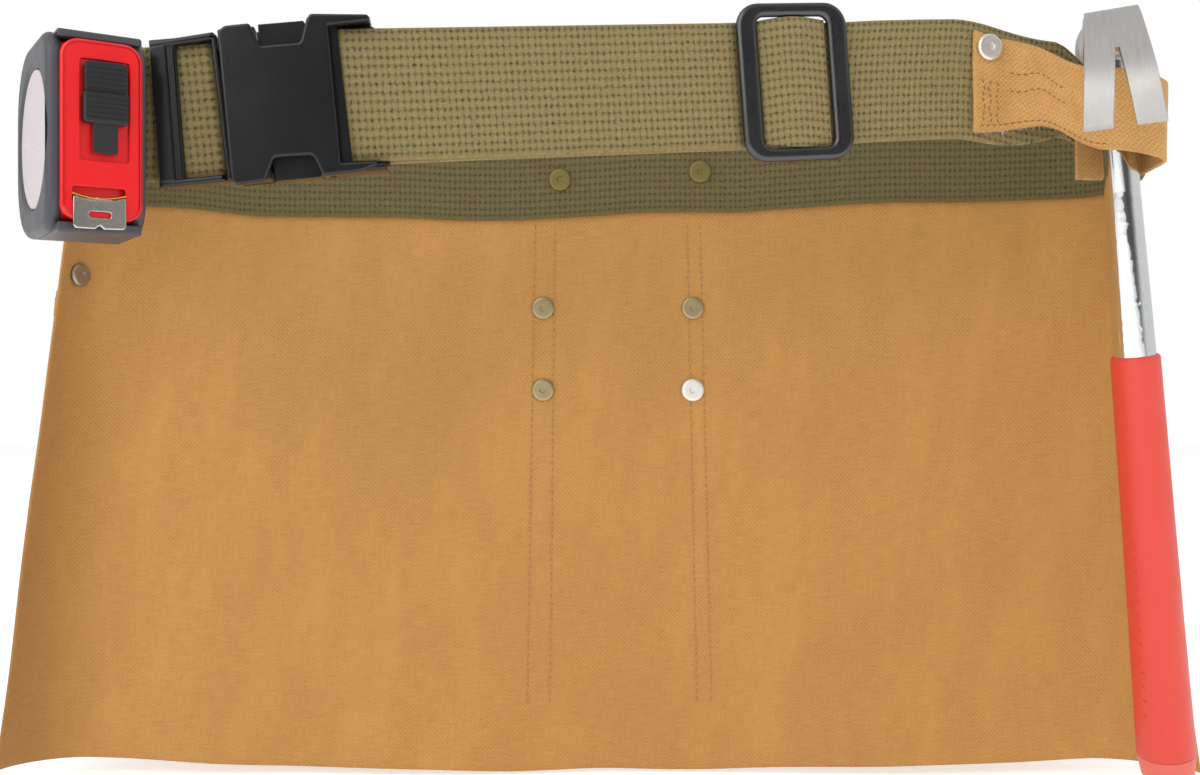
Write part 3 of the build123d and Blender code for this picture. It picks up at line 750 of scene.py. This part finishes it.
sling_plan = divided(
    rounded_line(
        [
            (157.5, -26.4),
            (180, -21.3, 12),
            (204, -53.6, 8),
            (229.8, -53.6, 8),
            (229.8, -11.7, 6),
            (204.5, -15.9),
        ],
        8,
    ),
    2.5,
)
SLING_TOP = [(0, 40.3), (13, 37.5), (62, 17.5), (96, 12), (169, 19)]
SLING_FOOT = [(0, -3), (28, -0.8), (62, -15.5), (96, -20.5), (169, -22)]
sling_stops = stops_along(sling_plan)
sling_length = sling_stops[-1]


def on_sling(gone, share, lift=0.0):
    """A point over the hammer loop, from its top edge (0) to its lower edge (1), and its outward normal."""
    here, along = point_along(sling_plan, sling_stops, gone)
    outward = Vector((along.y, -along.x, 0))
    v = 0.5 - share
    crease = sin(v * 15 + 0.6) * 1.2 * max(0, 1 - abs(gone - 44) / 24)
    pucker = sin(v * 31 + gone / 9) * 0.35 * max(0, 1 - abs(gone - 20) / 30)
    wobble = uneven((gone, v * 30, 0), 14, 0.6, 3)
    top, foot = between(gone, SLING_TOP), between(gone, SLING_FOOT)
    height = top + (foot - top) * share + uneven((gone, share * 9, 0), 11, 0.5, 8)
    return Vector((here.x, here.y, height)) + outward * (crease + pucker + wobble + lift), outward


sling_rows = [[on_sling(sling_length * j / 84, k / 24)[0] for j in range(85)] for k in range(25)]
sling = cloth("hammer_sling", sling_rows, -LOOP_CLOTH / 2, LOOP_CLOTH / 2, LOOP_CANVAS)

# ---- stitching


def add_tube(points, faces, rings):
    """Add a closed tube through rings of points to a mesh's points and faces."""
    around, first = len(rings[0]), len(points)
    for k, ring in enumerate(rings):
        points += ring
        here = first + k * around
        if k:
            back = here - around
            for q in range(around):
                ahead = (q + 1) % around
                faces.append((back + q, back + ahead, here + ahead, here + q))
    faces.append(tuple(reversed(range(first, first + around))))
    faces.append(tuple(range(len(points) - around, len(points))))


STITCH_PROFILE = [(0, 0.35, -0.3), (0.2, 0.9, 0.15), (0.5, 1, 0.35), (0.8, 0.9, 0.15), (1, 0.35, -0.3)]


def stitches(name, lines, material, length=2.7, gap=1.0, radius=0.32):
    """Rows of thread: each line is a list of (point, outward normal)."""
    points, faces = [], []
    for line in lines:
        ahead = stops_along([place for place, _ in line])
        at, k = gap, 0
        while at + length < ahead[-1]:
            ends = []
            for stop in (at, at + length / 2, at + length):
                while ahead[k + 1] < stop:
                    k += 1
                share = (stop - ahead[k]) / (ahead[k + 1] - ahead[k])
                spot = line[k][0].lerp(line[k + 1][0], share)
                ends.append((spot, line[k][1].lerp(line[k + 1][1], share).normalized()))
            along = (ends[2][0] - ends[0][0]).normalized()
            rings = []
            for share, thick, rise in STITCH_PROFILE:
                out = ends[0][1].lerp(ends[2][1], share).normalized()
                side = along.cross(out).normalized()
                centre = ends[0][0].lerp(ends[2][0], share) + out * radius * rise
                angles = [pi * q / 3 for q in range(6)]
                rings.append([centre + (side * cos(a) + out * sin(a)) * radius * thick for a in angles])
            add_tube(points, faces, rings)
            at += length + gap
    return make_mesh(name, points, faces, material)


def apron_line(x, top, bottom):
    """A stitch line down the apron's seen side."""
    s = distance_at(x)
    count = round((top - bottom) / 4)
    heights = [top + (bottom - top) * k / count for k in range(count + 1)]
    return [(on_apron(s, z, APRON_IN - 0.05), -plan_at(s)[1]) for z in heights]


seam_lines = []
for x in (POCKET_GAP[0] + 1.5, POCKET_GAP[0] - 8.5, POCKET_GAP[1] + 1.5, POCKET_GAP[1] + 8):
    seam_lines.append(apron_line(x, LARGE_MOUTH + 36, POCKET_BOTTOM + 8))
seams = stitches("apron_seams", seam_lines, THREAD, radius=0.4)


def flange_line(start, length, s):
    """A stitch line down a large pocket's flange."""
    top, foot = LARGE_MOUTH - 1, POCKET_BOTTOM - 4
    line = []
    for k in range(51):
        z = top + (foot - top) * (k / 50)
        lift = POCKET_IN + CLOTH + large_lift(s, length, z)
        line.append((on_apron(start + s, z, lift), plan_at(start + s)[1]))
    return line


back_lines = []
for start, end in ((END_MARGIN, left_inner), (right_inner, apron_length - END_MARGIN)):
    for s in (2.5, 6, end - start - 2.5, end - start - 6):
        back_lines.append(flange_line(start, end - start, s))
    places = [start + (3 + (end - start - 6) * k / 70) for k in range(71)]
    for foot in (POCKET_BOTTOM - 3, POCKET_BOTTOM - 6.5):
        back_lines.append([(on_apron(s, foot, POCKET_IN + CLOTH), plan_at(s)[1]) for s in places])
back_seams = stitches("pocket_seams", back_lines, THREAD, radius=0.4)


def over_grid(rows, lift, i0, i1, j0, j1, count):
    """A stitch line over a cloth's grid, between two grid places."""
    line = []
    last, end = len(rows) - 1, len(rows[0]) - 1
    for k in range(count + 1):
        i = i0 + (i1 - i0) * k / count
        j = j0 + (j1 - j0) * k / count
        a, b = min(int(i), last - 1), min(int(j), end - 1)
        u, v = i - a, j - b
        top = rows[a][b].lerp(rows[a][b + 1], v)
        foot = rows[a + 1][b].lerp(rows[a + 1][b + 1], v)
        outward = (rows[a][b + 1] - rows[a][b]).cross(rows[a + 1][b] - rows[a][b]).normalized()
        line.append((top.lerp(foot, u) + outward * lift, outward))
    return line


nail_lines = []
for rows in pocket_grids.values():
    last, end = len(rows) - 1, len(rows[0]) - 1
    nail_lines.append(over_grid(rows, CLOTH + 1.0, 2.4, 2.4, 0.6, end - 0.6, 80))
    if len(rows) < 40:
        nail_lines.append(over_grid(rows, CLOTH, 0.6, last - 0.5, 0.7, 0.7, 60))
        nail_lines.append(over_grid(rows, CLOTH, 0.6, last - 0.5, end - 0.7, end - 0.7, 60))
        nail_lines.append(over_grid(rows, CLOTH, last - 0.7, last - 0.7, 0.8, end - 0.8, 80))
hem_seams = stitches("hem_seams", nail_lines, THREAD, radius=0.4)

sling_lines = []
face = LOOP_CLOTH / 2
for share in (0.36, 0.56):
    sling_lines.append([on_sling(16 + 28 * k / 40, share + 0.03 * sin(k / 4.5), face) for k in range(41)])
for gone in (4.5, 7.5, 11):
    swerve = [gone + 0.6 * sin(k / 2 + gone) for k in range(31)]
    sling_lines.append([on_sling(place, 0.45 + 0.47 * k / 30, face) for k, place in enumerate(swerve)])
sling_lines.append([on_sling(2 + k, 0.93, face) for k in range(61)])
sling_seams = stitches("sling_seams", sling_lines, PALE_THREAD, 2.0, 0.8, 0.3)


def fibres(name, roots, material, radius=0.14):
    """Loose fibres: each from a root, along a direction, with a curl."""
    points, faces = [], []
    for n, (root, away, length) in enumerate(roots):
        rings = []
        for k in range(6):
            t = k / 5
            sways = [uneven((n * 7, k, plane), 3, sway) for plane, sway in ((1, 1.0), (5, 0.6), (9, 1.0))]
            centre = root + away * (length * t) + Vector(sways) * t
            spokes = [Vector((cos(a), sin(a) * 0.5, sin(a))) for a in (0, pi / 2, pi, pi * 3 / 2)]
            rings.append([centre + spoke * radius * (1 - 0.6 * t) for spoke in spokes])
        add_tube(points, faces, rings)
    return make_mesh(name, points, faces, material)


fray_roots = []
for n in range(26):
    away = Vector((uneven((n * 5, 0, 0), 3, 1.2), -0.3, -1)).normalized()
    length = 1.2 + 1.4 * abs(uneven((n * 9, 3, 0), 4, 1))
    fray_roots.append((on_sling(1 + n * 1.9, 0.99)[0], away, length))
for n in range(7):
    away = Vector((0.4 - n * 0.2, -0.4, -0.8)).normalized()
    fray_roots.append((on_sling(12.5 + n * 0.5, 0.99)[0], away, 3.4 - 0.3 * n))
fray = fibres("sling_fray", fray_roots, FRAY)

edge_roots = []
for k in range(12, len(loop_plan) - 1):
    for n in range(3):
        root = web_rows[12][k].lerp(web_rows[12][k + 1], n / 3)
        away = Vector((uneven((k * 3 + n, 1, 0), 2, 1.2), -0.3, -1)).normalized()
        edge_roots.append((root + Vector((0, 0, 0.3)), away, 0.7 + abs(uneven((k * 5, n, 2), 2, 1.0))))
edge_fibres = fibres("webbing_fibres", edge_roots, EDGE_THREAD, 0.16)

on_belt = [webbing, tail, apron, left_pocket, right_pocket, left_nails, right_nails, sling, seams]
on_belt += [back_seams, hem_seams, sling_seams, fray, edge_fibres, front_strap]
for piece in on_belt:
    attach(piece, "belt")
for piece in (slider_strap, window_strap):
    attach(piece, "slider")
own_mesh(front_strap)

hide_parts("belt_webbing")
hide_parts("webbing_tail")
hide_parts("adjusting_strap")
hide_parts("apron_panel")
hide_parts("left_large_pocket")
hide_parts("right_large_pocket")
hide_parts("left_nail_pocket")
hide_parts("right_nail_pocket")
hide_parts("hammer_loop")

# ---- hard pieces

black = moulded_material("buckle_black", (0.008, 0.008, 0.009), 0.23, edge=0.0006, specular_ior_level=0.5)
gunmetal = metal_material("gunmetal", (0.11, 0.11, 0.115), 0.3, edge=0.001)
BRUSHED = (1, 0.05, 0.05)
satin = metal_material("satin_steel", (0.58, 0.56, 0.54), 0.52, BRUSHED, 0.00001, frame_matrix=hammer_frame)
chrome = metal_material("chrome", (0.86, 0.87, 0.88), 0.07, edge=0.0002, depth=0.0000008)
steel = metal_material("zinc_steel", (0.66, 0.63, 0.58), 0.16)
coral = moulded_material("coral_rubber", (0.68, 0.055, 0.034), 0.42, edge=0.001)
pink = moulded_material("butt_rubber", (0.7, 0.13, 0.1), 0.5, edge=0.001)
red = moulded_material("gloss_red", (0.72, 0.008, 0.01), 0.22, grain=0.000004, edge=0.0004)
rubber = moulded_material("cover_rubber", (0.055, 0.058, 0.066), 0.42, grain=0.00006, edge=0.0006)
disc = moulded_material("pale_disc", (0.6, 0.52, 0.53), 0.3, edge=0.0006)
ribbed = moulded_material("ribbed_black", (0.016, 0.016, 0.018), 0.45, edge=0.0003)
yellow = moulded_material("blade_yellow", (0.8, 0.55, 0.03), 0.35)
inner = moulded_material("inner_plastic", (0.05, 0.05, 0.055), 0.5)
# Painted shade: a darker copy of the brass for the rivets on the webbing's back run, which is painted darker
# too
shaded_brass = metal_material("shaded_brass", (0.27, 0.23, 0.085), 0.5, edge=0.0008)
brass = metal_material("aged_brass", (0.52, 0.42, 0.24), 0.42, edge=0.0008)
bright_rivet = ((0.0465, 0.07, -0.112), 0.015, (0.95, 0.92, 0.86), 0.5)
grey_rivet = ((-0.252, 0.057, -0.056), 0.02, (0.4, 0.38, 0.33), 0.4)
touched_up(brass, [bright_rivet, grey_rivet])
nickel = metal_material("bright_nickel", (0.92, 0.89, 0.82), 0.45, edge=0.0008)

paint(black, "buckle_plug", "buckle_socket", "upper_prong", "lower_prong")
paint(gunmetal, "slider")
paint(satin, "hammer_head")
paint(chrome, "hammer_handle")
paint(coral, "hammer_grip")
paint(pink, "grip_butt")
paint(red, "left_case_half", "right_case_half")
paint(rubber, "left_case_cover", "right_case_cover")
paint(disc, "left_side_disc", "right_side_disc")
paint(ribbed, "lock_button")
paint(steel, "end_hook", "hook_rivets", "belt_clip", "clip_screw", "case_screws", "rivet_burrs")
paint(yellow, "blade_coil", "blade_lead")
paint(inner, "spool_axle", "spring_drum", "return_spring")
paint(shaded_brass, "webbing_rivets")
paint(brass, "pocket_rivets")
paint(nickel, "loop_rivet")

FACE_ON = Matrix(((1, 0, 0), (0, 0, -1), (0, 1, 0)))  # an outline's (x, y) seen from the front
SIDE_ON = Matrix(((0, 0, 1), (1, 0, 0), (0, 1, 0)))  # an outline's (x, y) seen from the side


def rounded_loop(corners):
    """A closed outline through corners (x, y, radius), each one rounded."""
    start, end = Vector(corners[-1][:2]), Vector(corners[0][:2])
    middle = (start + end) / 2
    closed = [tuple(middle)] + corners + [tuple(middle)]
    return rounded_line(closed, 12)[:-1]


def signed_area(points):
    return sum(a.x * b.y - b.x * a.y for a, b in zip(points, points[1:] + points[:1])) / 2


def circle(x, y, radius, count=64):
    angles = [2 * pi * i / count for i in range(count)]
    return [Vector((x + radius * cos(a), y + radius * sin(a), 0)) for a in angles]


def plate(place, outlines, near, far, rim=0.6, facing=FACE_ON):
    """A moulded plate's mesh between two depths in a frame: one outline is its edge, the others are holes."""
    data = bpy.data.curves.new("outline", "CURVE")
    data.dimensions = "2D"
    data.fill_mode = "BOTH"
    data.extrude = max(0.05, (far - near) / 2 - rim) * 0.001
    data.bevel_depth = rim * 0.001
    data.bevel_resolution = 3
    data.offset = -rim * 0.001
    for k, outline in enumerate(outlines):
        points = outline if isinstance(outline[0], Vector) else rounded_loop(outline)
        if (signed_area(points) > 0) == bool(k):
            points = points[::-1]
        spline = data.splines.new("POLY")
        spline.points.add(len(points) - 1)
        for target, p in zip(spline.points, points):
            target.co = (p.x * 0.001, p.y * 0.001, 0, 1)
        spline.use_cyclic_u = True
    holder = bpy.data.objects.new("outline", data)
    bpy.context.scene.collection.objects.link(holder)
    made = bpy.data.meshes.new_from_object(holder.evaluated_get(bpy.context.evaluated_depsgraph_get()))
    bpy.data.objects.remove(holder)
    middle = (near + far) / 2
    shift = Vector((0, middle, 0)) if facing is FACE_ON else Vector((middle, 0, 0))
    flat = place.copy()
    flat.translation = place.translation * 0.001
    made.transform(flat @ Matrix.Translation(shift * 0.001) @ facing.to_4x4())
    return made


def joined(name, meshes, material, body, *stands_for):
    """One object from several meshes, riding on a body."""
    both = bmesh.new()
    for mesh in meshes:
        both.from_mesh(mesh)
        bpy.data.meshes.remove(mesh)
    bmesh.ops.recalc_face_normals(both, faces=both.faces)
    data = bpy.data.meshes.new(name)
    both.to_mesh(data)
    both.free()
    data.materials.append(material)
    data.polygons.foreach_set("use_smooth", [True] * len(data.polygons))
    made = bpy.data.objects.new(name, data)
    bpy.context.scene.collection.objects.link(made)
    split = made.modifiers.new("edges", "EDGE_SPLIT")
    split.split_angle = radians(38)
    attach(made, body)
    if stands_for:
        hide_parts(*stands_for)
    return made


def bar_outline(x0, x1, z0, z1, radius=0.8):
    return [(x0, z0, radius), (x1, z0, radius), (x1, z1, radius), (x0, z1, radius)]


def mirrored_bars(x0, x1, inner, outer, radius=0.8):
    """Two bars, one on each side of the middle."""
    return [bar_outline(x0, x1, -outer, -inner, radius), bar_outline(x0, x1, inner, outer, radius)]


# The buckle's socket: a face with a notch for each thumb pad, a back, walls, rails and a strap bar
socket_face = [
    (0.6, 27.4, 2.5), (3.5, 29.2, 2), (12.6, 29.4, 1.5), (15.6, 20.6, 1.5), (30.4, 20.6, 1.5),
    (33.6, 29.2, 1.5), (35.2, 31, 1.5), (56.3, 29, 1.4), (57.6, 26.4, 1.2), (41.2, 26.0, 0.4),
    (40.2, -25.6, 0.4), (57.8, -26.4, 0.8), (47.0, -29.6, 4), (33.2, -29.8, 1.5), (30.2, -21.6, 2),
    (16.0, -21.2, 2), (11.6, -29.8, 1.5), (0.4, -30.2, 2.5), (-0.6, -27.5, 2),
]
socket_back = [
    (0, 29, 3), (14.5, 29, 1), (14.5, 22, 1), (34.5, 22, 1), (34.5, 29, 1), (56, 29, 2), (56, 26.4, 0.6),
    (40.1, 26.4, 0.5), (40.1, -26.4, 0.5), (56, -26.4, 0.6), (56, -29, 2), (34.5, -29, 1), (34.5, -22, 1),
    (14.5, -22, 1), (14.5, -29, 1), (0, -29, 3),
]
socket_meshes = [
    plate(buckle_frame, [socket_face], -8, -4.5, 0.9),
    plate(buckle_frame, [socket_back], 2.5, 6, 0.9),
    plate(buckle_frame, [bar_outline(45.8, 58, -27, 27, 1)], 1.6, 4.6, 1.2),
    plate(buckle_frame, [bar_outline(39.2, 44.4, -26.6, 26.6, 0.5)], -4.4, 5.8, 0.5),
]
for bar in mirrored_bars(0.2, 14, 24.5, 28.8) + mirrored_bars(35, 40.1, 24.5, 28.8):
    socket_meshes.append(plate(buckle_frame, [bar], -5, 3, 0.5))
for bar in mirrored_bars(37, 57, 26.7, 29.2, 1.2):
    socket_meshes.append(plate(buckle_frame, [bar], -6, 4.6, 0.8))
joined("buckle_body", socket_meshes, black, "socket", "buckle_socket")

# The buckle's plug: rails, ladder bars, base and tongue
rail_top = [(-25.4, 26.4, 1.2), (-1.2, 28.2, 0.6), (-1.2, 25.4, 0.4), (-25, 23.8, 1.2)]
rail_bottom = [(-27.3, -25.4, 1.2), (-3, -25.2, 0.4), (-3, -27.8, 0.6), (-27.5, -28.2, 1.2)]
first_bar = [(-25, 25, 0.5), (-15.6, 25.6, 0.5), (-17.6, -26.4, 0.5), (-27, -26.6, 0.5)]
bar_ridge = [(-24.9, 24.4, 0.5), (-19.2, 24.8, 0.5), (-21.2, -26, 0.5), (-26.9, -26.2, 0.5)]
ladder_meshes = [
    plate(buckle_frame, [rail_top], -4.9, -1.4, 1.1),
    plate(buckle_frame, [rail_bottom], -4.9, -1.4, 1.1),
    plate(buckle_frame, [first_bar], -4.3, -1.4, 1),
    plate(buckle_frame, [bar_ridge], -5.0, -3.6, 0.5),
    plate(buckle_frame, [bar_outline(-10, -5.5, -27, 27)], 1.5, 4.2, 1),
    plate(buckle_frame, [bar_outline(-2.4, -0.4, -27.4, 27.4)], -4.5, 3.5, 0.6),
    plate(buckle_frame, [bar_outline(-1, 8.4, -14, 14)], -4.2, 2.2, 0.6),
    plate(buckle_frame, [bar_outline(4, 34, -5, 5, 2)], -2.5, 0.5, 0.6),
]
ladder_meshes += [plate(buckle_frame, [bar], -3, 4.2, 0.7) for bar in mirrored_bars(-25.5, -1.2, 25.6, 27.6)]
ladder_meshes += [plate(buckle_frame, [bar], -4.2, 2.2, 0.6) for bar in mirrored_bars(-1, 8.4, 21.2, 24.2)]
joined("buckle_ladder", ladder_meshes, black, "belt", "buckle_plug")

# The slider: a rounded frame with a bar behind the strap
slider_hole = [(-15.4, -26.6, 3.5), (15.4, -26.6, 3.5), (15.4, 26.6, 3.5), (-15.4, 26.6, 3.5)]
slider_rim = [(-23.8, -32.2, 9.5), (23.8, -32.2, 9.5), (23.8, 32.2, 9.5), (-23.8, 32.2, 9.5)]
slider_meshes = [
    plate(strap_frame, [slider_rim, slider_hole], -5.2, -1.4, 1.85),
    plate(strap_frame, [bar_outline(-3, 3, -29, 29, 1)], 1.5, 4.4, 1.2),
]
slider_meshes += [plate(strap_frame, [bar], -2, 4.4, 0.9) for bar in mirrored_bars(-3, 3, 27.6, 31.9)]
joined("slider_frame", slider_meshes, gunmetal, "slider", "slider")

# The tape measure: red front with a recess and a mouth, rubber band round it, side covers
face_rim = [(-12.9, -32, 5.5), (15.2, -31.4, 5.5), (15.2, 32, 6.5), (-12.9, 32, 6.5)]
recess = bar_outline(-6.4, 10.4, -10.8, 25, 1)
mouth = [(-8.9, -25.6, 0.8), (9.1, -25.6, 0.8), (9.1, -20.2, 0.8), (-8.9, -20.2, 0.8)]
inner_rim = [(-11.6, -31.6, 4.5), (13.9, -31, 4.5), (13.9, 30.7, 5.5), (-11.6, 30.7, 5.5)]
rim_holes = [bar_outline(-7.2, 11.2, -12, 26, 1), bar_outline(-9.4, 9.6, -26, -19.8, 0.8)]
case_side = [(-27.5, -31.8, 5), (28.5, -31.8, 20), (28.5, 31.8, 20), (-27.5, 31.8, 5)]
front_meshes = [
    plate(tape_frame, [face_rim, *rim_holes], -31.25, -27.2, 1.2),
    plate(tape_frame, [inner_rim, recess, mouth], -31.5, -29.6, 0.35),
    plate(tape_frame, [bar_outline(-8, 12, -12.8, 27, 1)], -29.9, -27, 0.4),
    plate(tape_frame, [case_side], -12.8, 15.2, 1.6, SIDE_ON),
]
joined("tape_front", front_meshes, red, "tape", "left_case_half", "right_case_half")
band_outline = [
    (-28.6, 35.4, 1.2), (31.8, 35.4, 23), (31.8, -35.4, 23), (-28.6, -36.2, 1.2),
    (-28.6, -32.6, 0.5), (28.8, -32.4, 20), (28.8, 32.4, 20), (-28.6, 32.6, 0.5),
]
cover_outline = [(-29.4, -35.8, 12), (31.9, -35.8, 24), (31.9, 35.8, 24), (-29.4, 35.8, 12)]
cover_meshes = [
    plate(tape_frame, [band_outline], -13.5, 15.5, 1, SIDE_ON),
    plate(tape_frame, [cover_outline, circle(0, 0, 25.3)], -17.1, -11.2, 2.9, SIDE_ON),
    plate(tape_frame, [cover_outline, circle(0, 0, 25.3)], 12.2, 17.1, 2.2, SIDE_ON),
]
joined("tape_cover", cover_meshes, rubber, "tape", "left_case_cover", "right_case_cover")

# The lock: ribs in two groups over a narrower stem
lock_meshes = [
    plate(tape_frame, [bar_outline(-5.6, 9.6, 2.2, 13.2, 1.2)], -34.2, -30.2, 0.6),
    plate(tape_frame, [bar_outline(-5.2, 9.4, 12.4, 24.2, 2.4)], -33.6, -30.2, 0.6),
    plate(tape_frame, [bar_outline(-2.4, 6.2, -8.4, 4, 0.8)], -33.0, -31.75, 0.4),
]
for k in range(12):
    low = 3.2 + 1.75 * k
    reach = -34.7 if k < 6 else -34.1
    rib = bar_outline(-5.2, 9.2, low, low + 0.9, 0.3)
    lock_meshes.append(plate(tape_frame, [rib], reach, reach + 1.2, 0.35))
joined("tape_lock", lock_meshes, ribbed, "lock_button", "lock_button")

# The grip's raised dots, in a row down its seen side
GRIP_SIZES = [(-302, 12.2, 16.5), (-255, 11.4, 15.8), (-190, 10.6, 14.8), (-129, 10, 14)]
DOT_SIDE = Vector((-0.64, -0.77, 0))


def grip_size(z):
    """The grip's half width and half depth at a height in the hammer's frame."""
    for (low, a, b), (high, c, d) in zip(GRIP_SIZES, GRIP_SIZES[1:]):
        if z <= high:
            share = (z - low) / (high - low)
            return a + (c - a) * share, b + (d - b) * share
    return GRIP_SIZES[-1][1:]


dot_points, dot_faces = [], []
for k in range(13):
    z = -208 - 6.2 * k
    half_width, half_depth = grip_size(z)
    root = Vector((DOT_SIDE.x * half_width, DOT_SIDE.y * half_depth, z))
    out = Vector((DOT_SIDE.x / half_width, DOT_SIDE.y / half_depth, 0)).normalized()
    side = out.cross(Vector((0, 0, 1)))
    spokes = [side * cos(a) + Vector((0, 0, sin(a))) for a in [2 * pi * q / 10 for q in range(10)]]
    rings = []
    for lift, radius in ((-0.4, 0.9), (0.1, 0.85), (0.32, 0.6), (0.42, 0.2)):
        rings.append([hammer_frame @ (root + out * lift + spoke * radius) for spoke in spokes])
    add_tube(dot_points, dot_faces, rings)
grip_dots = make_mesh("grip_dots", dot_points, dot_faces, coral)
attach(grip_dots, "hammer")

# The hook: a bent plate with a slot and a nail notch
hook_outline = [
    (-8.9, -23.6, 0.8), (-4, -25, 3), (4, -25, 3), (9, -23.4, 0.8), (9, -34.9, 1.5), (1.6, -35.2, 0.4),
    (0, -33.9, 0.6), (-1.6, -35.2, 0.4), (-8.9, -35.2, 1.5),
]
hook_meshes = [
    plate(tape_frame, [hook_outline, bar_outline(-3.6, 3.9, -31.2, -29, 1)], -32.9, -31.7, 0.35),
    plate(tape_frame, [bar_outline(-5, 5, -25.3, -24.5, 0.4)], -32.4, -24.2, 0.2),
]
joined("tape_hook", hook_meshes, steel, "blade", "end_hook")

# ---- stage, light and camera

floor_z = cad_box[0].z - 0.002
FLOOR_GLOW = {"emission_color": (1, 1, 1, 1), "emission_strength": 0.35}
floor_shader = Shader("pale_floor", (0.97, 0.97, 0.97), 0.8, **FLOOR_GLOW)
floor_shader.put("Normal", floor_shader.bump(floor_shader.noise(floor_shader.place(), 30, 3), 0.0002))
floor = make_mesh(
    "floor",
    [(x, y, floor_z * 1000) for x, y in ((-4000, -4000), (4000, -4000), (4000, 4000), (-4000, 4000))],
    [(0, 1, 2, 3)],
    floor_shader.material,
)

world = bpy.data.worlds.new("studio")
bpy.context.scene.world = world
world.use_nodes = True
sky = Nodes(world.node_tree)
lamp = sky.tree.nodes["Background"]
lamp.inputs["Strength"].default_value = 0.7
heading = sky.parts(sky.node("TexCoord").outputs["Generated"])
sky.feed(lamp.inputs["Color"], sky.ramp(heading["Y"], -0.95, -0.35, 0.12, 1.0, "SMOOTHSTEP"))
seen = sky.node("Background", Color=(1, 1, 1, 1), Strength=1.0)
either = sky.node("MixShader", Fac=sky.node("LightPath").outputs["Is Camera Ray"])
sky.feed(either.inputs[1], lamp.outputs[0])
sky.feed(either.inputs[2], seen.outputs[0])
sky.feed(sky.tree.nodes["World Output"].inputs["Surface"], either.outputs[0])


def area_light(name, place, aim, size, power, mirrored=True):
    data = bpy.data.lights.new(name, "AREA")
    data.shape = "RECTANGLE"
    data.size, data.size_y = size
    data.energy = power
    made = bpy.data.objects.new(name, data)
    made.location = place
    made.rotation_euler = (Vector(aim) - Vector(place)).to_track_quat("-Z", "Y").to_euler()
    made.visible_glossy = mirrored
    bpy.context.scene.collection.objects.link(made)


area_light("key", (-1.1, -1.5, 1.1), (0, 0, -0.1), (2.0, 2.2), 30)
area_light("fill", (1.3, -1.3, 0.3), (0, 0, -0.1), (1.6, 2.2), 14, mirrored=False)

camera_data = bpy.data.cameras.new("camera")
camera_data.lens = 39.1
camera_data.shift_y = 0.0021
camera = bpy.data.objects.new("camera", camera_data)
camera.location = (0, -0.577, -0.112)
camera.rotation_euler = (radians(90), 0, 0)
bpy.context.scene.collection.objects.link(camera)
bpy.context.scene.camera = camera
bpy.context.scene.view_settings.view_transform = "Standard"
